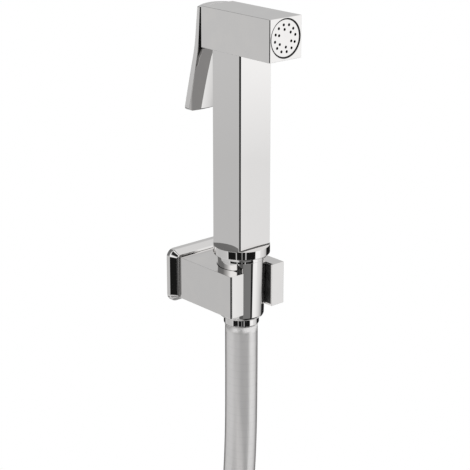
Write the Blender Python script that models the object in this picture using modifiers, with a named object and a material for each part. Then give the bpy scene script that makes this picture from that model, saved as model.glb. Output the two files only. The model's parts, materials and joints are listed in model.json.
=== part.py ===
"""Square handheld bidet shower resting in its wall bracket, with its hose.

Metres, +Z up. The origin is the centre of the bracket's back face, on the wall plane y = 0.
The wall is on the +Y side, the spray leaves towards -Y, and +X is to the right.
"""

from math import atan2, cos, hypot, pi, radians, sin, sqrt, tan

import bmesh
import bpy
from mathutils import Matrix, Vector

# Clearances
GAP = 0.0003
SEAL_GAP = 0.00015
STEM_CLEARANCE = 0.00018

# Wall plate and the base that it covers
PLATE_WIDTH = 0.0436
PLATE_HEIGHT = 0.0287
PLATE_DEPTH = 0.0059
PLATE_CORNER = 0.0043
PLATE_RIM = 0.0022
PLATE_WALL = 0.0016
PLATE_FRONT_WALL = 0.0018
PLATE_ABOVE_CRADLE = 0.0035
BASE_THICKNESS = 0.0030
WALL_SCREW_SPACING = 0.0290
WALL_SCREW_HOLE_RADIUS = 0.0021
WALL_SCREW_SINK_RADIUS = 0.0036
GRUB_RADIUS = 0.0009
GRUB_REACH = 0.0014

# Cradle: the fork block, its liner and its two screws
CRADLE_WIDTH = 0.0361
CRADLE_HEIGHT = 0.0225
CRADLE_EDGE = 0.0004
AXIS_TO_WALL = 0.0340
AXIS_TO_CRADLE_FRONT = 0.0125
SLOT_WIDTH = 0.01934
LINER_THICKNESS = 0.0011
LINER_FRONT_RIM = 0.0006
LINER_FOOT = 0.0010
CRADLE_SCREW_SPACING = 0.0130
CRADLE_SCREW_RADIUS = 0.0015
CRADLE_SCREW_GRIP = 0.0070
CRADLE_SCREW_HEAD_RADIUS = 0.0029
CRADLE_SCREW_HEAD_HEIGHT = 0.0015

# Hose nut at the handset
NUT_ABOVE_CRADLE = 0.0036
NUT_LENGTH = 0.0316
NUT_TOP_RADIUS = 0.01245
NUT_FOOT_RADIUS = 0.01160
NUT_ROUND = 0.0021
NUT_SHOULDER = 0.0025

# Half inch connection, shared by both ends of the hose
SPIGOT_RADIUS = 0.01048
SPIGOT_LENGTH = 0.0110
WASHER_THICKNESS = 0.0020
FLANGE_THICKNESS = 0.0020
WASHER_BORE_RADIUS = 0.0052
INSERT_NECK_RADIUS = 0.0068
INSERT_TAIL_RADIUS = 0.0053
INSERT_BORE_RADIUS = 0.0036

# Handset casting
GRIP_SIDE = 0.0205
GRIP_TOP_SIDE = 0.0198
GRIP_LENGTH = 0.0997
GRIP_EDGE = 0.0006
GRIP_BORE_RADIUS = 0.0048
COLLAR_RADIUS = 0.0146
COLLAR_BAND = 0.0043
COLLAR_CHAMFER = 0.0027
COLLAR_FOOT_RADIUS = 0.0126
COLLAR_CONE_RISE = 0.0014
HEAD_WIDTH = 0.0205
HEAD_HEIGHT = 0.02065
HEAD_REACH_FRONT = 0.0313
HEAD_REACH_BACK = 0.0186
HEAD_EDGE = 0.0005

# Spray plate and its seal
SPRAY_RADIUS = 0.0090
SPRAY_RECESS = 0.0002
SPRAY_THICKNESS = 0.0012
SPRAY_SKIRT = 0.0036
SPRAY_SKIRT_WALL = 0.0009
SPRAY_HOLE_RADIUS = 0.0005
OUTER_HOLES = 12
OUTER_HOLE_CIRCLE = 0.0066
OUTER_FIRST_HOLE = radians(21)
INNER_HOLES = 6
INNER_HOLE_CIRCLE = 0.0043
INNER_FIRST_HOLE = radians(-6)
SEAL_WIDTH = 0.0004
SEAL_DEPTH = 0.0012
NOZZLE_CHAMBER_DEPTH = 0.0060
NOZZLE_ABOVE_MIDDLE = 0.0003

# Valve in the head, on an axis below the nozzle's
VALVE_BELOW_NOZZLE = 0.0038
CHAMBER_RADIUS = 0.0048
CHAMBER_AHEAD = 0.0160
SEAT_BEHIND = 0.0030
SEAT_THICKNESS = 0.0020
SEAT_RADIUS = 0.0029
REAR_CAVITY_RADIUS = 0.0038
REAR_CAVITY_LENGTH = 0.0042
GALLERY_RADIUS = 0.0016
GALLERY_ABOVE_NOZZLE = 0.0049
PLUG_RADIUS = 0.0054
PLUG_SLOT_WIDTH = 0.0012
PLUG_SLOT_DEPTH = 0.0015
PLUG_GUIDE_DEPTH = 0.0060
RING_WIRE = 0.00050
PLUG_RING_FROM_REAR = 0.0020
STEM_RADIUS = 0.0015
STEM_NOSE = 0.0042
HUB_RADIUS = 0.0021
STEM_FLANGE_RADIUS = 0.0040
STEM_FLANGE_THICKNESS = 0.0012
DISC_RADIUS = 0.0042
DISC_THICKNESS = 0.0018
SPRING_RADIUS = 0.0028
SPRING_WIRE_RADIUS = 0.00040
SPRING_TURNS = 7
GLAND_RADIUS = 0.0040
GLAND_RING_WIRE = 0.00055
GLAND_RING_FROM_FRONT = 0.0030
GLAND_KEY_DEPTH = 0.0012

# Trigger lever
PIVOT_BEHIND_FACE = 0.0030
PIVOT_BELOW_TOP = 0.0041
PIN_RADIUS = 0.0010
PIN_LENGTH = 0.0164
PIN_COVER = 0.0004
LUG_RADIUS = 0.0026
LUG_WIDTH = 0.0076
POCKET_BELOW_LUG = 0.0010
LEVER_TOP_DROP = 0.0007
LEVER_TOP_STANDOFF = 0.0006
LEVER_REACH_DOWN = 0.0344
LEVER_UPPER_TILT = radians(4.0)
LEVER_LOWER_TILT = radians(13.2)
LEVER_BEND_BELOW_HEAD = 0.0002
LEVER_BEND_SPREAD = 0.0060
LEVER_TOP_THICKNESS = 0.0021
LEVER_THICKNESS = 0.0037
LEVER_CORNER = 0.0022
LEVER_ARCH = 0.0008
LEVER_CROWN = 0.0020
LEVER_EDGE = 0.0005

# Hose
HOSE_RADIUS = 0.0085
FERRULE_RADIUS = 0.00915
FERRULE_SHOW = 0.0039
COIL_RADIUS = 0.0840
COIL_TURNS = 2
COIL_STEP = 0.0172
COIL_CENTRE_BELOW_GRIP = 0.1960
COIL_STUB = 0.0560
TIE_THICKNESS = 0.0012
TIE_WIDTH = 0.0090
INLET_FERRULE_LENGTH = 0.0160
INLET_NUT_FLATS = 0.0240
INLET_NUT_LENGTH = 0.0150
INLET_NUT_SHOULDER = 0.0027
HEX_CHAMFER = 0.0012

# Hose route below the ferrule: (x, height below the grip's foot), up to the coil's stub
HOSE_ROUTE = ((0.0000, 0.0560), (-0.0002, 0.0750), (-0.0007, 0.1000), (-0.0018, 0.1180), (-0.0030, 0.1330))
COIL_ENTRY_X = -0.0030

# Levels and planes worked out from the sizes above
AXIS_Y = -AXIS_TO_WALL
PLATE_FRONT_Y = -PLATE_DEPTH
CRADLE_TOP_Z = PLATE_HEIGHT / 2 - PLATE_ABOVE_CRADLE
CRADLE_FOOT_Z = CRADLE_TOP_Z - CRADLE_HEIGHT
CRADLE_MIDDLE_Z = (CRADLE_TOP_Z + CRADLE_FOOT_Z) / 2
CRADLE_FRONT_Y = AXIS_Y - AXIS_TO_CRADLE_FRONT
CRADLE_BACK_Y = PLATE_FRONT_Y - GAP
NUT_TOP_Z = CRADLE_TOP_Z + NUT_ABOVE_CRADLE
NUT_FOOT_Z = NUT_TOP_Z - NUT_LENGTH
COLLAR_FOOT_Z = NUT_TOP_Z + GAP
GRIP_FOOT_Z = COLLAR_FOOT_Z + COLLAR_CHAMFER + COLLAR_BAND
HEAD_FOOT_Z = GRIP_FOOT_Z + GRIP_LENGTH
HEAD_TOP_Z = HEAD_FOOT_Z + HEAD_HEIGHT
HEAD_FRONT_Y = AXIS_Y - HEAD_REACH_FRONT
HEAD_BACK_Y = AXIS_Y + HEAD_REACH_BACK
NOZZLE_Z = HEAD_FOOT_Z + HEAD_HEIGHT / 2 + NOZZLE_ABOVE_MIDDLE
VALVE_Z = NOZZLE_Z - VALVE_BELOW_NOZZLE
CHAMBER_FLOOR_Y = HEAD_FRONT_Y + NOZZLE_CHAMBER_DEPTH
CHAMBER_FRONT_Y = AXIS_Y - CHAMBER_AHEAD
SEAT_Y = AXIS_Y + SEAT_BEHIND
REAR_CAVITY_Y = SEAT_Y + SEAT_THICKNESS
GLAND_FRONT_Y = REAR_CAVITY_Y + REAR_CAVITY_LENGTH
GALLERY_Z = NOZZLE_Z + GALLERY_ABOVE_NOZZLE
GALLERY_END_Y = REAR_CAVITY_Y + REAR_CAVITY_LENGTH / 2
PIVOT_Y = HEAD_BACK_Y - PIVOT_BEHIND_FACE
PIVOT_Z = HEAD_TOP_Z - PIVOT_BELOW_TOP
THREAD_RADIUS = SPIGOT_RADIUS + GAP
COIL_CENTRE_Z = GRIP_FOOT_Z - COIL_CENTRE_BELOW_GRIP
COIL_CENTRE_X = COIL_ENTRY_X - COIL_RADIUS
COIL_DEPTH = COIL_TURNS * COIL_STEP + 2 * HOSE_RADIUS
COIL_EXIT_Y = AXIS_Y - COIL_TURNS * COIL_STEP

UP = Vector((0, 0, 1))
DOWN = Vector((0, 0, -1))
FRONT = Vector((0, -1, 0))
BACK = Vector((0, 1, 0))
RIGHT = Vector((1, 0, 0))


def clear_scene():
    for obj in list(bpy.data.objects):
        bpy.data.objects.remove(obj, do_unlink=True)


def new_collection(name):
    collection = bpy.data.collections.new(name)
    bpy.context.scene.collection.children.link(collection)
    return collection


def new_material(name, colour, roughness, metallic):
    made = bpy.data.materials.new(name)
    made.use_nodes = True
    shader = made.node_tree.nodes["Principled BSDF"]
    shader.inputs["Base Color"].default_value = (*colour, 1)
    shader.inputs["Roughness"].default_value = roughness
    shader.inputs["Metallic"].default_value = metallic
    made.diffuse_color = (*colour, 1)
    return made


clear_scene()
PARTS = new_collection("bidet_shower")
CUTTERS = new_collection("cutters")

CHROME = new_material("chrome", (0.80, 0.80, 0.81), 0.06, 1.0)
BRASS = new_material("brass", (0.78, 0.60, 0.32), 0.28, 1.0)
STEEL = new_material("stainless_steel", (0.58, 0.58, 0.59), 0.30, 1.0)
ZINC = new_material("zinc_plated_steel", (0.55, 0.56, 0.58), 0.40, 1.0)
BLACK_PLASTIC = new_material("black_plastic", (0.015, 0.015, 0.015), 0.45, 0.0)
RUBBER = new_material("black_rubber", (0.02, 0.02, 0.02), 0.70, 0.0)
HOSE_SKIN = new_material("silver_hose_skin", (0.62, 0.62, 0.63), 0.32, 0.6)


def keep(obj, material):
    """Make obj a named part of the model."""
    obj.data.materials.clear()
    obj.data.materials.append(material)
    if obj.type == "MESH":
        obj.data.shade_smooth()
        obj.data.set_sharp_from_angle(angle=radians(35))
    PARTS.objects.link(obj)
    return obj


def guide(obj):
    """Make obj a shape that only cuts or joins others."""
    obj.hide_render = True
    obj.display_type = "WIRE"
    CUTTERS.objects.link(obj)
    return obj


def mesh_object(name, bm):
    mesh = bpy.data.meshes.new(name)
    bm.to_mesh(mesh)
    bm.free()
    return bpy.data.objects.new(name, mesh)


def block(name, low, high, edge=0.0):
    """A box between two corners, with all its edges rounded by edge."""
    low = Vector(low)
    high = Vector(high)
    bm = bmesh.new()
    bmesh.ops.create_cube(bm, size=1)
    bmesh.ops.scale(bm, vec=high - low, verts=bm.verts)
    bmesh.ops.translate(bm, vec=(low + high) / 2, verts=bm.verts)
    if edge:
        bmesh.ops.bevel(bm, geom=bm.edges[:], offset=edge, segments=2, profile=0.5, affect="EDGES")
    return mesh_object(name, bm)


def rod(name, radius, start, direction, length, end_radius=None, steps=20):
    """A cylinder or cone that runs from start along direction."""
    bm = bmesh.new()
    tip = radius if end_radius is None else end_radius
    bmesh.ops.create_cone(
        bm, cap_ends=True, segments=steps, radius1=radius, radius2=tip, depth=length
    )
    bmesh.ops.translate(bm, vec=UP * length / 2, verts=bm.verts)
    turn = Vector(direction).to_track_quat("Z", "Y").to_matrix().to_4x4()
    bmesh.ops.transform(bm, matrix=Matrix.Translation(start) @ turn, verts=bm.verts)
    return mesh_object(name, bm)


def turned(name, outline, origin, direction=UP, closed=True, steps=28):
    """A turned shape: outline holds (radius, height) down its outer side and up its inner one."""
    mesh = bpy.data.meshes.new(name)
    points = [(radius, 0, height) for radius, height in outline]
    edges = [(i, i + 1) for i in range(len(points) - 1)]
    if closed:
        edges.append((len(points) - 1, 0))
    mesh.from_pydata(points, edges, [])
    obj = bpy.data.objects.new(name, mesh)
    obj.location = origin
    obj.rotation_euler = Vector(direction).to_track_quat("Z", "Y").to_euler()
    screw = obj.modifiers.new("turn", "SCREW")
    screw.steps = steps
    screw.render_steps = steps
    screw.use_merge_vertices = True
    screw.merge_threshold = 0.00001
    return obj


def as_mesh(obj):
    """Turn a curve or modified object into a plain mesh object with welded caps."""
    bpy.context.scene.collection.objects.link(obj)
    graph = bpy.context.evaluated_depsgraph_get()
    mesh = bpy.data.meshes.new_from_object(obj.evaluated_get(graph))
    bm = bmesh.new()
    bm.from_mesh(mesh)
    bmesh.ops.remove_doubles(bm, verts=bm.verts, dist=0.000001)
    bm.to_mesh(mesh)
    bm.free()
    made = bpy.data.objects.new(obj.name, mesh)
    made.matrix_world = obj.matrix_world
    name = obj.name
    bpy.data.objects.remove(obj, do_unlink=True)
    made.name = name
    return made


def prism(name, outlines, start, end, across):
    """Flat outlines, holes among them, extruded from start to end along across, "X", "Y" or "Z"."""
    curve = bpy.data.curves.new(name, "CURVE")
    curve.dimensions = "2D"
    curve.fill_mode = "BOTH"
    curve.extrude = abs(end - start) / 2
    for outline in outlines:
        spline = curve.splines.new("POLY")
        spline.points.add(len(outline) - 1)
        for point, (u, v) in zip(spline.points, outline):
            point.co = (u, v, 0, 1)
        spline.use_cyclic_u = True
    obj = bpy.data.objects.new(name, curve)
    middle = (start + end) / 2
    frames = {
        "X": Matrix(((0, 0, 1, middle), (1, 0, 0, 0), (0, 1, 0, 0), (0, 0, 0, 1))),
        "Y": Matrix(((1, 0, 0, 0), (0, 0, -1, middle), (0, 1, 0, 0), (0, 0, 0, 1))),
        "Z": Matrix.Translation((0, 0, middle)),
    }
    made = as_mesh(obj)
    made.data.transform(frames[across])
    return made


def cut(target, cutter):
    step = target.modifiers.new("cut", "BOOLEAN")
    step.operation = "DIFFERENCE"
    step.object = guide(cutter)


def join(target, other):
    step = target.modifiers.new("join", "BOOLEAN")
    step.operation = "UNION"
    step.object = guide(other)


def within(target, other):
    step = target.modifiers.new("trim", "BOOLEAN")
    step.operation = "INTERSECT"
    step.object = guide(other)


def set_origin(obj, point):
    obj.data.transform(Matrix.Translation(-Vector(point)))
    obj.location = point


def rounded_rectangle(width, height, corner, centre=(0, 0), steps=5):
    """Corner points of a rectangle with round corners, anticlockwise."""
    points = []
    for quarter in range(4):
        angle = quarter * pi / 2
        side_x = 1 if quarter in (0, 3) else -1
        side_y = 1 if quarter in (0, 1) else -1
        cx = centre[0] + side_x * (width / 2 - corner)
        cy = centre[1] + side_y * (height / 2 - corner)
        for step in range(steps + 1):
            turn = angle + step / steps * pi / 2
            points.append((cx + corner * cos(turn), cy + corner * sin(turn)))
    return points


def washer(name, bore, outer, top_z, thickness, y, material, x=0.0):
    outline = [(outer, top_z), (outer, top_z - thickness), (bore, top_z - thickness), (bore, top_z)]
    return keep(turned(name, outline, (x, y, 0)), material)


def seal_ring(name, circle, wire, centre, direction, material):
    """A ring of round section."""
    section = [
        (circle + wire * cos(-turn * pi / 4), wire * sin(-turn * pi / 4)) for turn in range(8)
    ]
    return keep(turned(name, section, centre, direction, steps=20), material)


def nut_radius(z):
    """Radius of the hose nut's taper at height z."""
    share = (NUT_TOP_Z - z) / (NUT_LENGTH - NUT_ROUND)
    return NUT_TOP_RADIUS + share * (NUT_FOOT_RADIUS - NUT_TOP_RADIUS)


# Bracket


def wall_plate():
    middle = rounded_rectangle(PLATE_WIDTH, PLATE_HEIGHT, PLATE_CORNER)
    plate = prism("wall_plate", [middle], PLATE_FRONT_Y, 0, "Y")
    bm = bmesh.new()
    bm.from_mesh(plate.data)
    rim = [e for e in bm.edges if all(abs(v.co.y - PLATE_FRONT_Y) < GAP / 3 for v in e.verts)]
    outer = [e for e in rim if any(abs(f.normal.y) < 0.5 for f in e.link_faces)]
    bmesh.ops.bevel(bm, geom=outer, offset=PLATE_RIM, segments=3, profile=0.5, affect="EDGES")
    bm.to_mesh(plate.data)
    bm.free()
    width = PLATE_WIDTH - 2 * PLATE_WALL
    height = PLATE_HEIGHT - 2 * PLATE_WALL
    hollow = rounded_rectangle(width, height, PLATE_CORNER - PLATE_WALL)
    cut(plate, prism("plate_hollow", [hollow], PLATE_FRONT_Y + PLATE_FRONT_WALL, GAP, "Y"))
    for side in (-1, 1):
        start = (side * CRADLE_SCREW_SPACING / 2, PLATE_FRONT_Y - GAP, CRADLE_MIDDLE_Z)
        radius = CRADLE_SCREW_RADIUS + GAP
        cut(plate, rod("plate_screw_hole", radius, start, BACK, PLATE_FRONT_WALL + 2 * GAP, steps=20))
    grub_start = (0, -BASE_THICKNESS / 2, -PLATE_HEIGHT / 2 - GAP)
    cut(plate, rod("plate_grub_hole", GRUB_RADIUS + SEAL_GAP, grub_start, UP, PLATE_WALL + 2 * GAP, steps=16))
    keep(plate, CHROME)


def wall_base():
    width = PLATE_WIDTH - 2 * PLATE_WALL - 2 * GAP
    height = PLATE_HEIGHT - 2 * PLATE_WALL - 2 * GAP
    outline = rounded_rectangle(width, height, PLATE_CORNER - PLATE_WALL - GAP)
    base = prism("wall_base", [outline], -BASE_THICKNESS, 0, "Y")
    sink = WALL_SCREW_SINK_RADIUS - WALL_SCREW_HOLE_RADIUS
    hole = [
        (0, GAP), (WALL_SCREW_SINK_RADIUS + GAP, GAP), (WALL_SCREW_HOLE_RADIUS, -sink),
        (WALL_SCREW_HOLE_RADIUS, -BASE_THICKNESS - GAP), (0, -BASE_THICKNESS - GAP),
    ]
    for side in (-1, 1):
        start = (side * WALL_SCREW_SPACING / 2, -BASE_THICKNESS, 0)
        cut(base, as_mesh(turned("wall_screw_hole", hole, start, FRONT, closed=False, steps=24)))
        head_start = (side * CRADLE_SCREW_SPACING / 2, -BASE_THICKNESS - GAP, CRADLE_MIDDLE_Z)
        head_room = CRADLE_SCREW_HEAD_RADIUS + GAP
        cut(base, rod("screw_head_room", head_room, head_start, BACK, BASE_THICKNESS + 2 * GAP, steps=24))
    dimple_start = (0, -BASE_THICKNESS / 2, -height / 2 - GAP)
    cut(base, rod("grub_dimple", GRUB_RADIUS + SEAL_GAP, dimple_start, UP, GRUB_REACH + GAP, steps=16))
    keep(base, ZINC)


def grub_screw():
    foot_z = -PLATE_HEIGHT / 2 + GAP
    tip_z = -PLATE_HEIGHT / 2 + PLATE_WALL + GAP + GRUB_REACH - GAP
    key = 0.0005
    outline = [
        (0, tip_z), (GRUB_RADIUS * 0.6, tip_z), (GRUB_RADIUS, tip_z - GRUB_RADIUS * 0.5),
        (GRUB_RADIUS, foot_z), (key, foot_z), (key, foot_z + GRUB_RADIUS), (0, foot_z + GRUB_RADIUS),
    ]
    screw = turned("grub_screw", outline, (0, -BASE_THICKNESS / 2, 0), closed=False, steps=16)
    keep(screw, STEEL)


def cradle():
    half = CRADLE_WIDTH / 2
    body = block(
        "cradle",
        (-half, CRADLE_FRONT_Y, CRADLE_FOOT_Z),
        (half, CRADLE_BACK_Y, CRADLE_TOP_Z),
        edge=CRADLE_EDGE,
    )
    axis_foot = Vector((0, AXIS_Y, CRADLE_FOOT_Z - GAP))
    lip_top_z = CRADLE_FOOT_Z + LINER_FOOT
    lip_radius = nut_radius(lip_top_z) + GAP
    cut(body, rod("seat_bore", lip_radius, axis_foot, UP, CRADLE_HEIGHT + 2 * GAP, steps=40))
    slot_half = SLOT_WIDTH / 2
    cut(body, block("slot", (-slot_half, CRADLE_FRONT_Y - GAP, CRADLE_FOOT_Z - GAP),
                    (slot_half, AXIS_Y, CRADLE_TOP_Z + GAP)))
    recess_radius = nut_radius(CRADLE_TOP_Z) + GAP + LINER_THICKNESS + GAP
    recess_start = (0, AXIS_Y, lip_top_z)
    recess_height = CRADLE_TOP_Z - lip_top_z + GAP
    cut(body, rod("liner_recess", recess_radius, recess_start, UP, recess_height, steps=40))
    recess_half = slot_half + LINER_THICKNESS + GAP
    cut(body, block("liner_slot", (-recess_half, CRADLE_FRONT_Y + LINER_FRONT_RIM, lip_top_z),
                    (recess_half, AXIS_Y, CRADLE_TOP_Z + GAP)))
    for side in (-1, 1):
        start = (side * CRADLE_SCREW_SPACING / 2, CRADLE_BACK_Y + GAP, CRADLE_MIDDLE_Z)
        depth = CRADLE_SCREW_GRIP + 3 * GAP
        cut(body, rod("cradle_thread", CRADLE_SCREW_RADIUS + SEAL_GAP, start, FRONT, depth, steps=20))
    keep(body, CHROME)


def cradle_liner():
    foot_z = CRADLE_FOOT_Z + LINER_FOOT + GAP
    top_z = CRADLE_TOP_Z - GAP
    outer = nut_radius(CRADLE_TOP_Z) + GAP + LINER_THICKNESS
    liner = rod("cradle_liner", outer, (0, AXIS_Y, foot_z), UP, top_z - foot_z, steps=40)
    leg_half = SLOT_WIDTH / 2 + LINER_THICKNESS
    join(liner, block("liner_legs", (-leg_half, CRADLE_FRONT_Y + LINER_FRONT_RIM + GAP, foot_z),
                      (leg_half, AXIS_Y - SLOT_WIDTH / 4, top_z)))
    low_z = foot_z - GAP
    high_z = top_z + GAP
    cut(liner, rod("liner_bore", nut_radius(low_z) + GAP, (0, AXIS_Y, low_z), UP, high_z - low_z,
                   end_radius=nut_radius(high_z) + GAP, steps=40))
    cut(liner, block("liner_mouth", (-SLOT_WIDTH / 2, AXIS_Y - 2 * outer, low_z),
                     (SLOT_WIDTH / 2, AXIS_Y, high_z)))
    keep(liner, BLACK_PLASTIC)


def cradle_screw(name, side):
    """Pan head screw with a cross recess, from the cover plate's hollow into the cradle."""
    head_y = PLATE_FRONT_Y + PLATE_FRONT_WALL + GAP
    tip = head_y - (CRADLE_BACK_Y - CRADLE_SCREW_GRIP)
    outline = [
        (0, CRADLE_SCREW_HEAD_HEIGHT), (CRADLE_SCREW_HEAD_RADIUS * 0.7, CRADLE_SCREW_HEAD_HEIGHT),
        (CRADLE_SCREW_HEAD_RADIUS, CRADLE_SCREW_HEAD_HEIGHT * 0.45), (CRADLE_SCREW_HEAD_RADIUS, 0),
        (CRADLE_SCREW_RADIUS, 0), (CRADLE_SCREW_RADIUS, CRADLE_SCREW_RADIUS - tip), (0, -tip),
    ]
    origin = (side * CRADLE_SCREW_SPACING / 2, head_y, CRADLE_MIDDLE_Z)
    screw = as_mesh(turned(name, outline, origin, BACK, closed=False, steps=20))
    recess = CRADLE_SCREW_HEAD_RADIUS * 0.55
    key_y = head_y + CRADLE_SCREW_HEAD_HEIGHT
    for long_x, long_z in ((recess, GAP), (GAP, recess)):
        low = (origin[0] - long_x, key_y - CRADLE_SCREW_HEAD_HEIGHT / 2, origin[2] - long_z)
        high = (origin[0] + long_x, key_y + GAP, origin[2] + long_z)
        cut(screw, block("cross_recess", low, high))
    keep(screw, ZINC)


# Hose connection at the handset


def hose_nut():
    """Long tapered nut: thread on top, a shoulder for the insert, and a skirt over the ferrule."""
    shoulder_top = NUT_TOP_Z - SPIGOT_LENGTH - WASHER_THICKNESS - FLANGE_THICKNESS - 3 * GAP
    skirt_radius = FERRULE_RADIUS + GAP
    outline = [(NUT_TOP_RADIUS - GAP, NUT_TOP_Z), (NUT_TOP_RADIUS, NUT_TOP_Z - GAP)]
    round_z = NUT_FOOT_Z + NUT_ROUND
    lip_radius = skirt_radius + GAP
    for step in range(5):
        turn = step / 4 * pi / 2
        radius = lip_radius + (NUT_FOOT_RADIUS - lip_radius) * cos(turn)
        outline.append((radius, round_z - NUT_ROUND * sin(turn)))
    outline += [
        (skirt_radius, NUT_FOOT_Z),
        (skirt_radius, shoulder_top - NUT_SHOULDER),
        (INSERT_NECK_RADIUS + GAP, shoulder_top - NUT_SHOULDER),
        (INSERT_NECK_RADIUS + GAP, shoulder_top),
        (THREAD_RADIUS, shoulder_top),
        (THREAD_RADIUS, NUT_TOP_Z - GAP),
        (THREAD_RADIUS + GAP, NUT_TOP_Z),
    ]
    keep(turned("hose_nut", outline, (0, AXIS_Y, 0), steps=40), CHROME)


def hose_insert():
    top_z = NUT_TOP_Z - SPIGOT_LENGTH - WASHER_THICKNESS - 2 * GAP
    neck_z = top_z - FLANGE_THICKNESS
    ferrule_z = neck_z - NUT_SHOULDER - 2 * GAP
    tail_z = NUT_FOOT_Z - FERRULE_SHOW + FERRULE_SHOW / 3
    barb = GAP
    outline = [
        (THREAD_RADIUS - GAP, top_z), (THREAD_RADIUS - GAP, neck_z),
        (INSERT_NECK_RADIUS, neck_z), (INSERT_NECK_RADIUS, ferrule_z),
        (INSERT_TAIL_RADIUS - barb, ferrule_z),
    ]
    barbs = 3
    pitch = (ferrule_z - tail_z) / (barbs + 1)
    for number in range(barbs):
        low = ferrule_z - (number + 1) * pitch
        outline.append((INSERT_TAIL_RADIUS, low))
        outline.append((INSERT_TAIL_RADIUS - barb, low))
    outline += [
        (INSERT_TAIL_RADIUS - barb, tail_z), (INSERT_BORE_RADIUS, tail_z), (INSERT_BORE_RADIUS, top_z),
    ]
    keep(turned("hose_insert", outline, (0, AXIS_Y, 0), steps=20), BRASS)


def hose_ferrule():
    """Crimped sleeve, with its pressed bead at the open end."""
    shoulder_top = NUT_TOP_Z - SPIGOT_LENGTH - WASHER_THICKNESS - FLANGE_THICKNESS - 3 * GAP
    top_z = shoulder_top - NUT_SHOULDER - GAP
    foot_z = NUT_FOOT_Z - FERRULE_SHOW
    edge = 2 * GAP
    bore = INSERT_TAIL_RADIUS + GAP
    outline = [
        (FERRULE_RADIUS - edge, top_z), (FERRULE_RADIUS, top_z - edge),
        (FERRULE_RADIUS, foot_z + edge), (FERRULE_RADIUS - edge, foot_z),
        (bore, foot_z), (bore, top_z),
    ]
    keep(turned("hose_ferrule", outline, (0, AXIS_Y, 0)), CHROME)


# Handset


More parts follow.
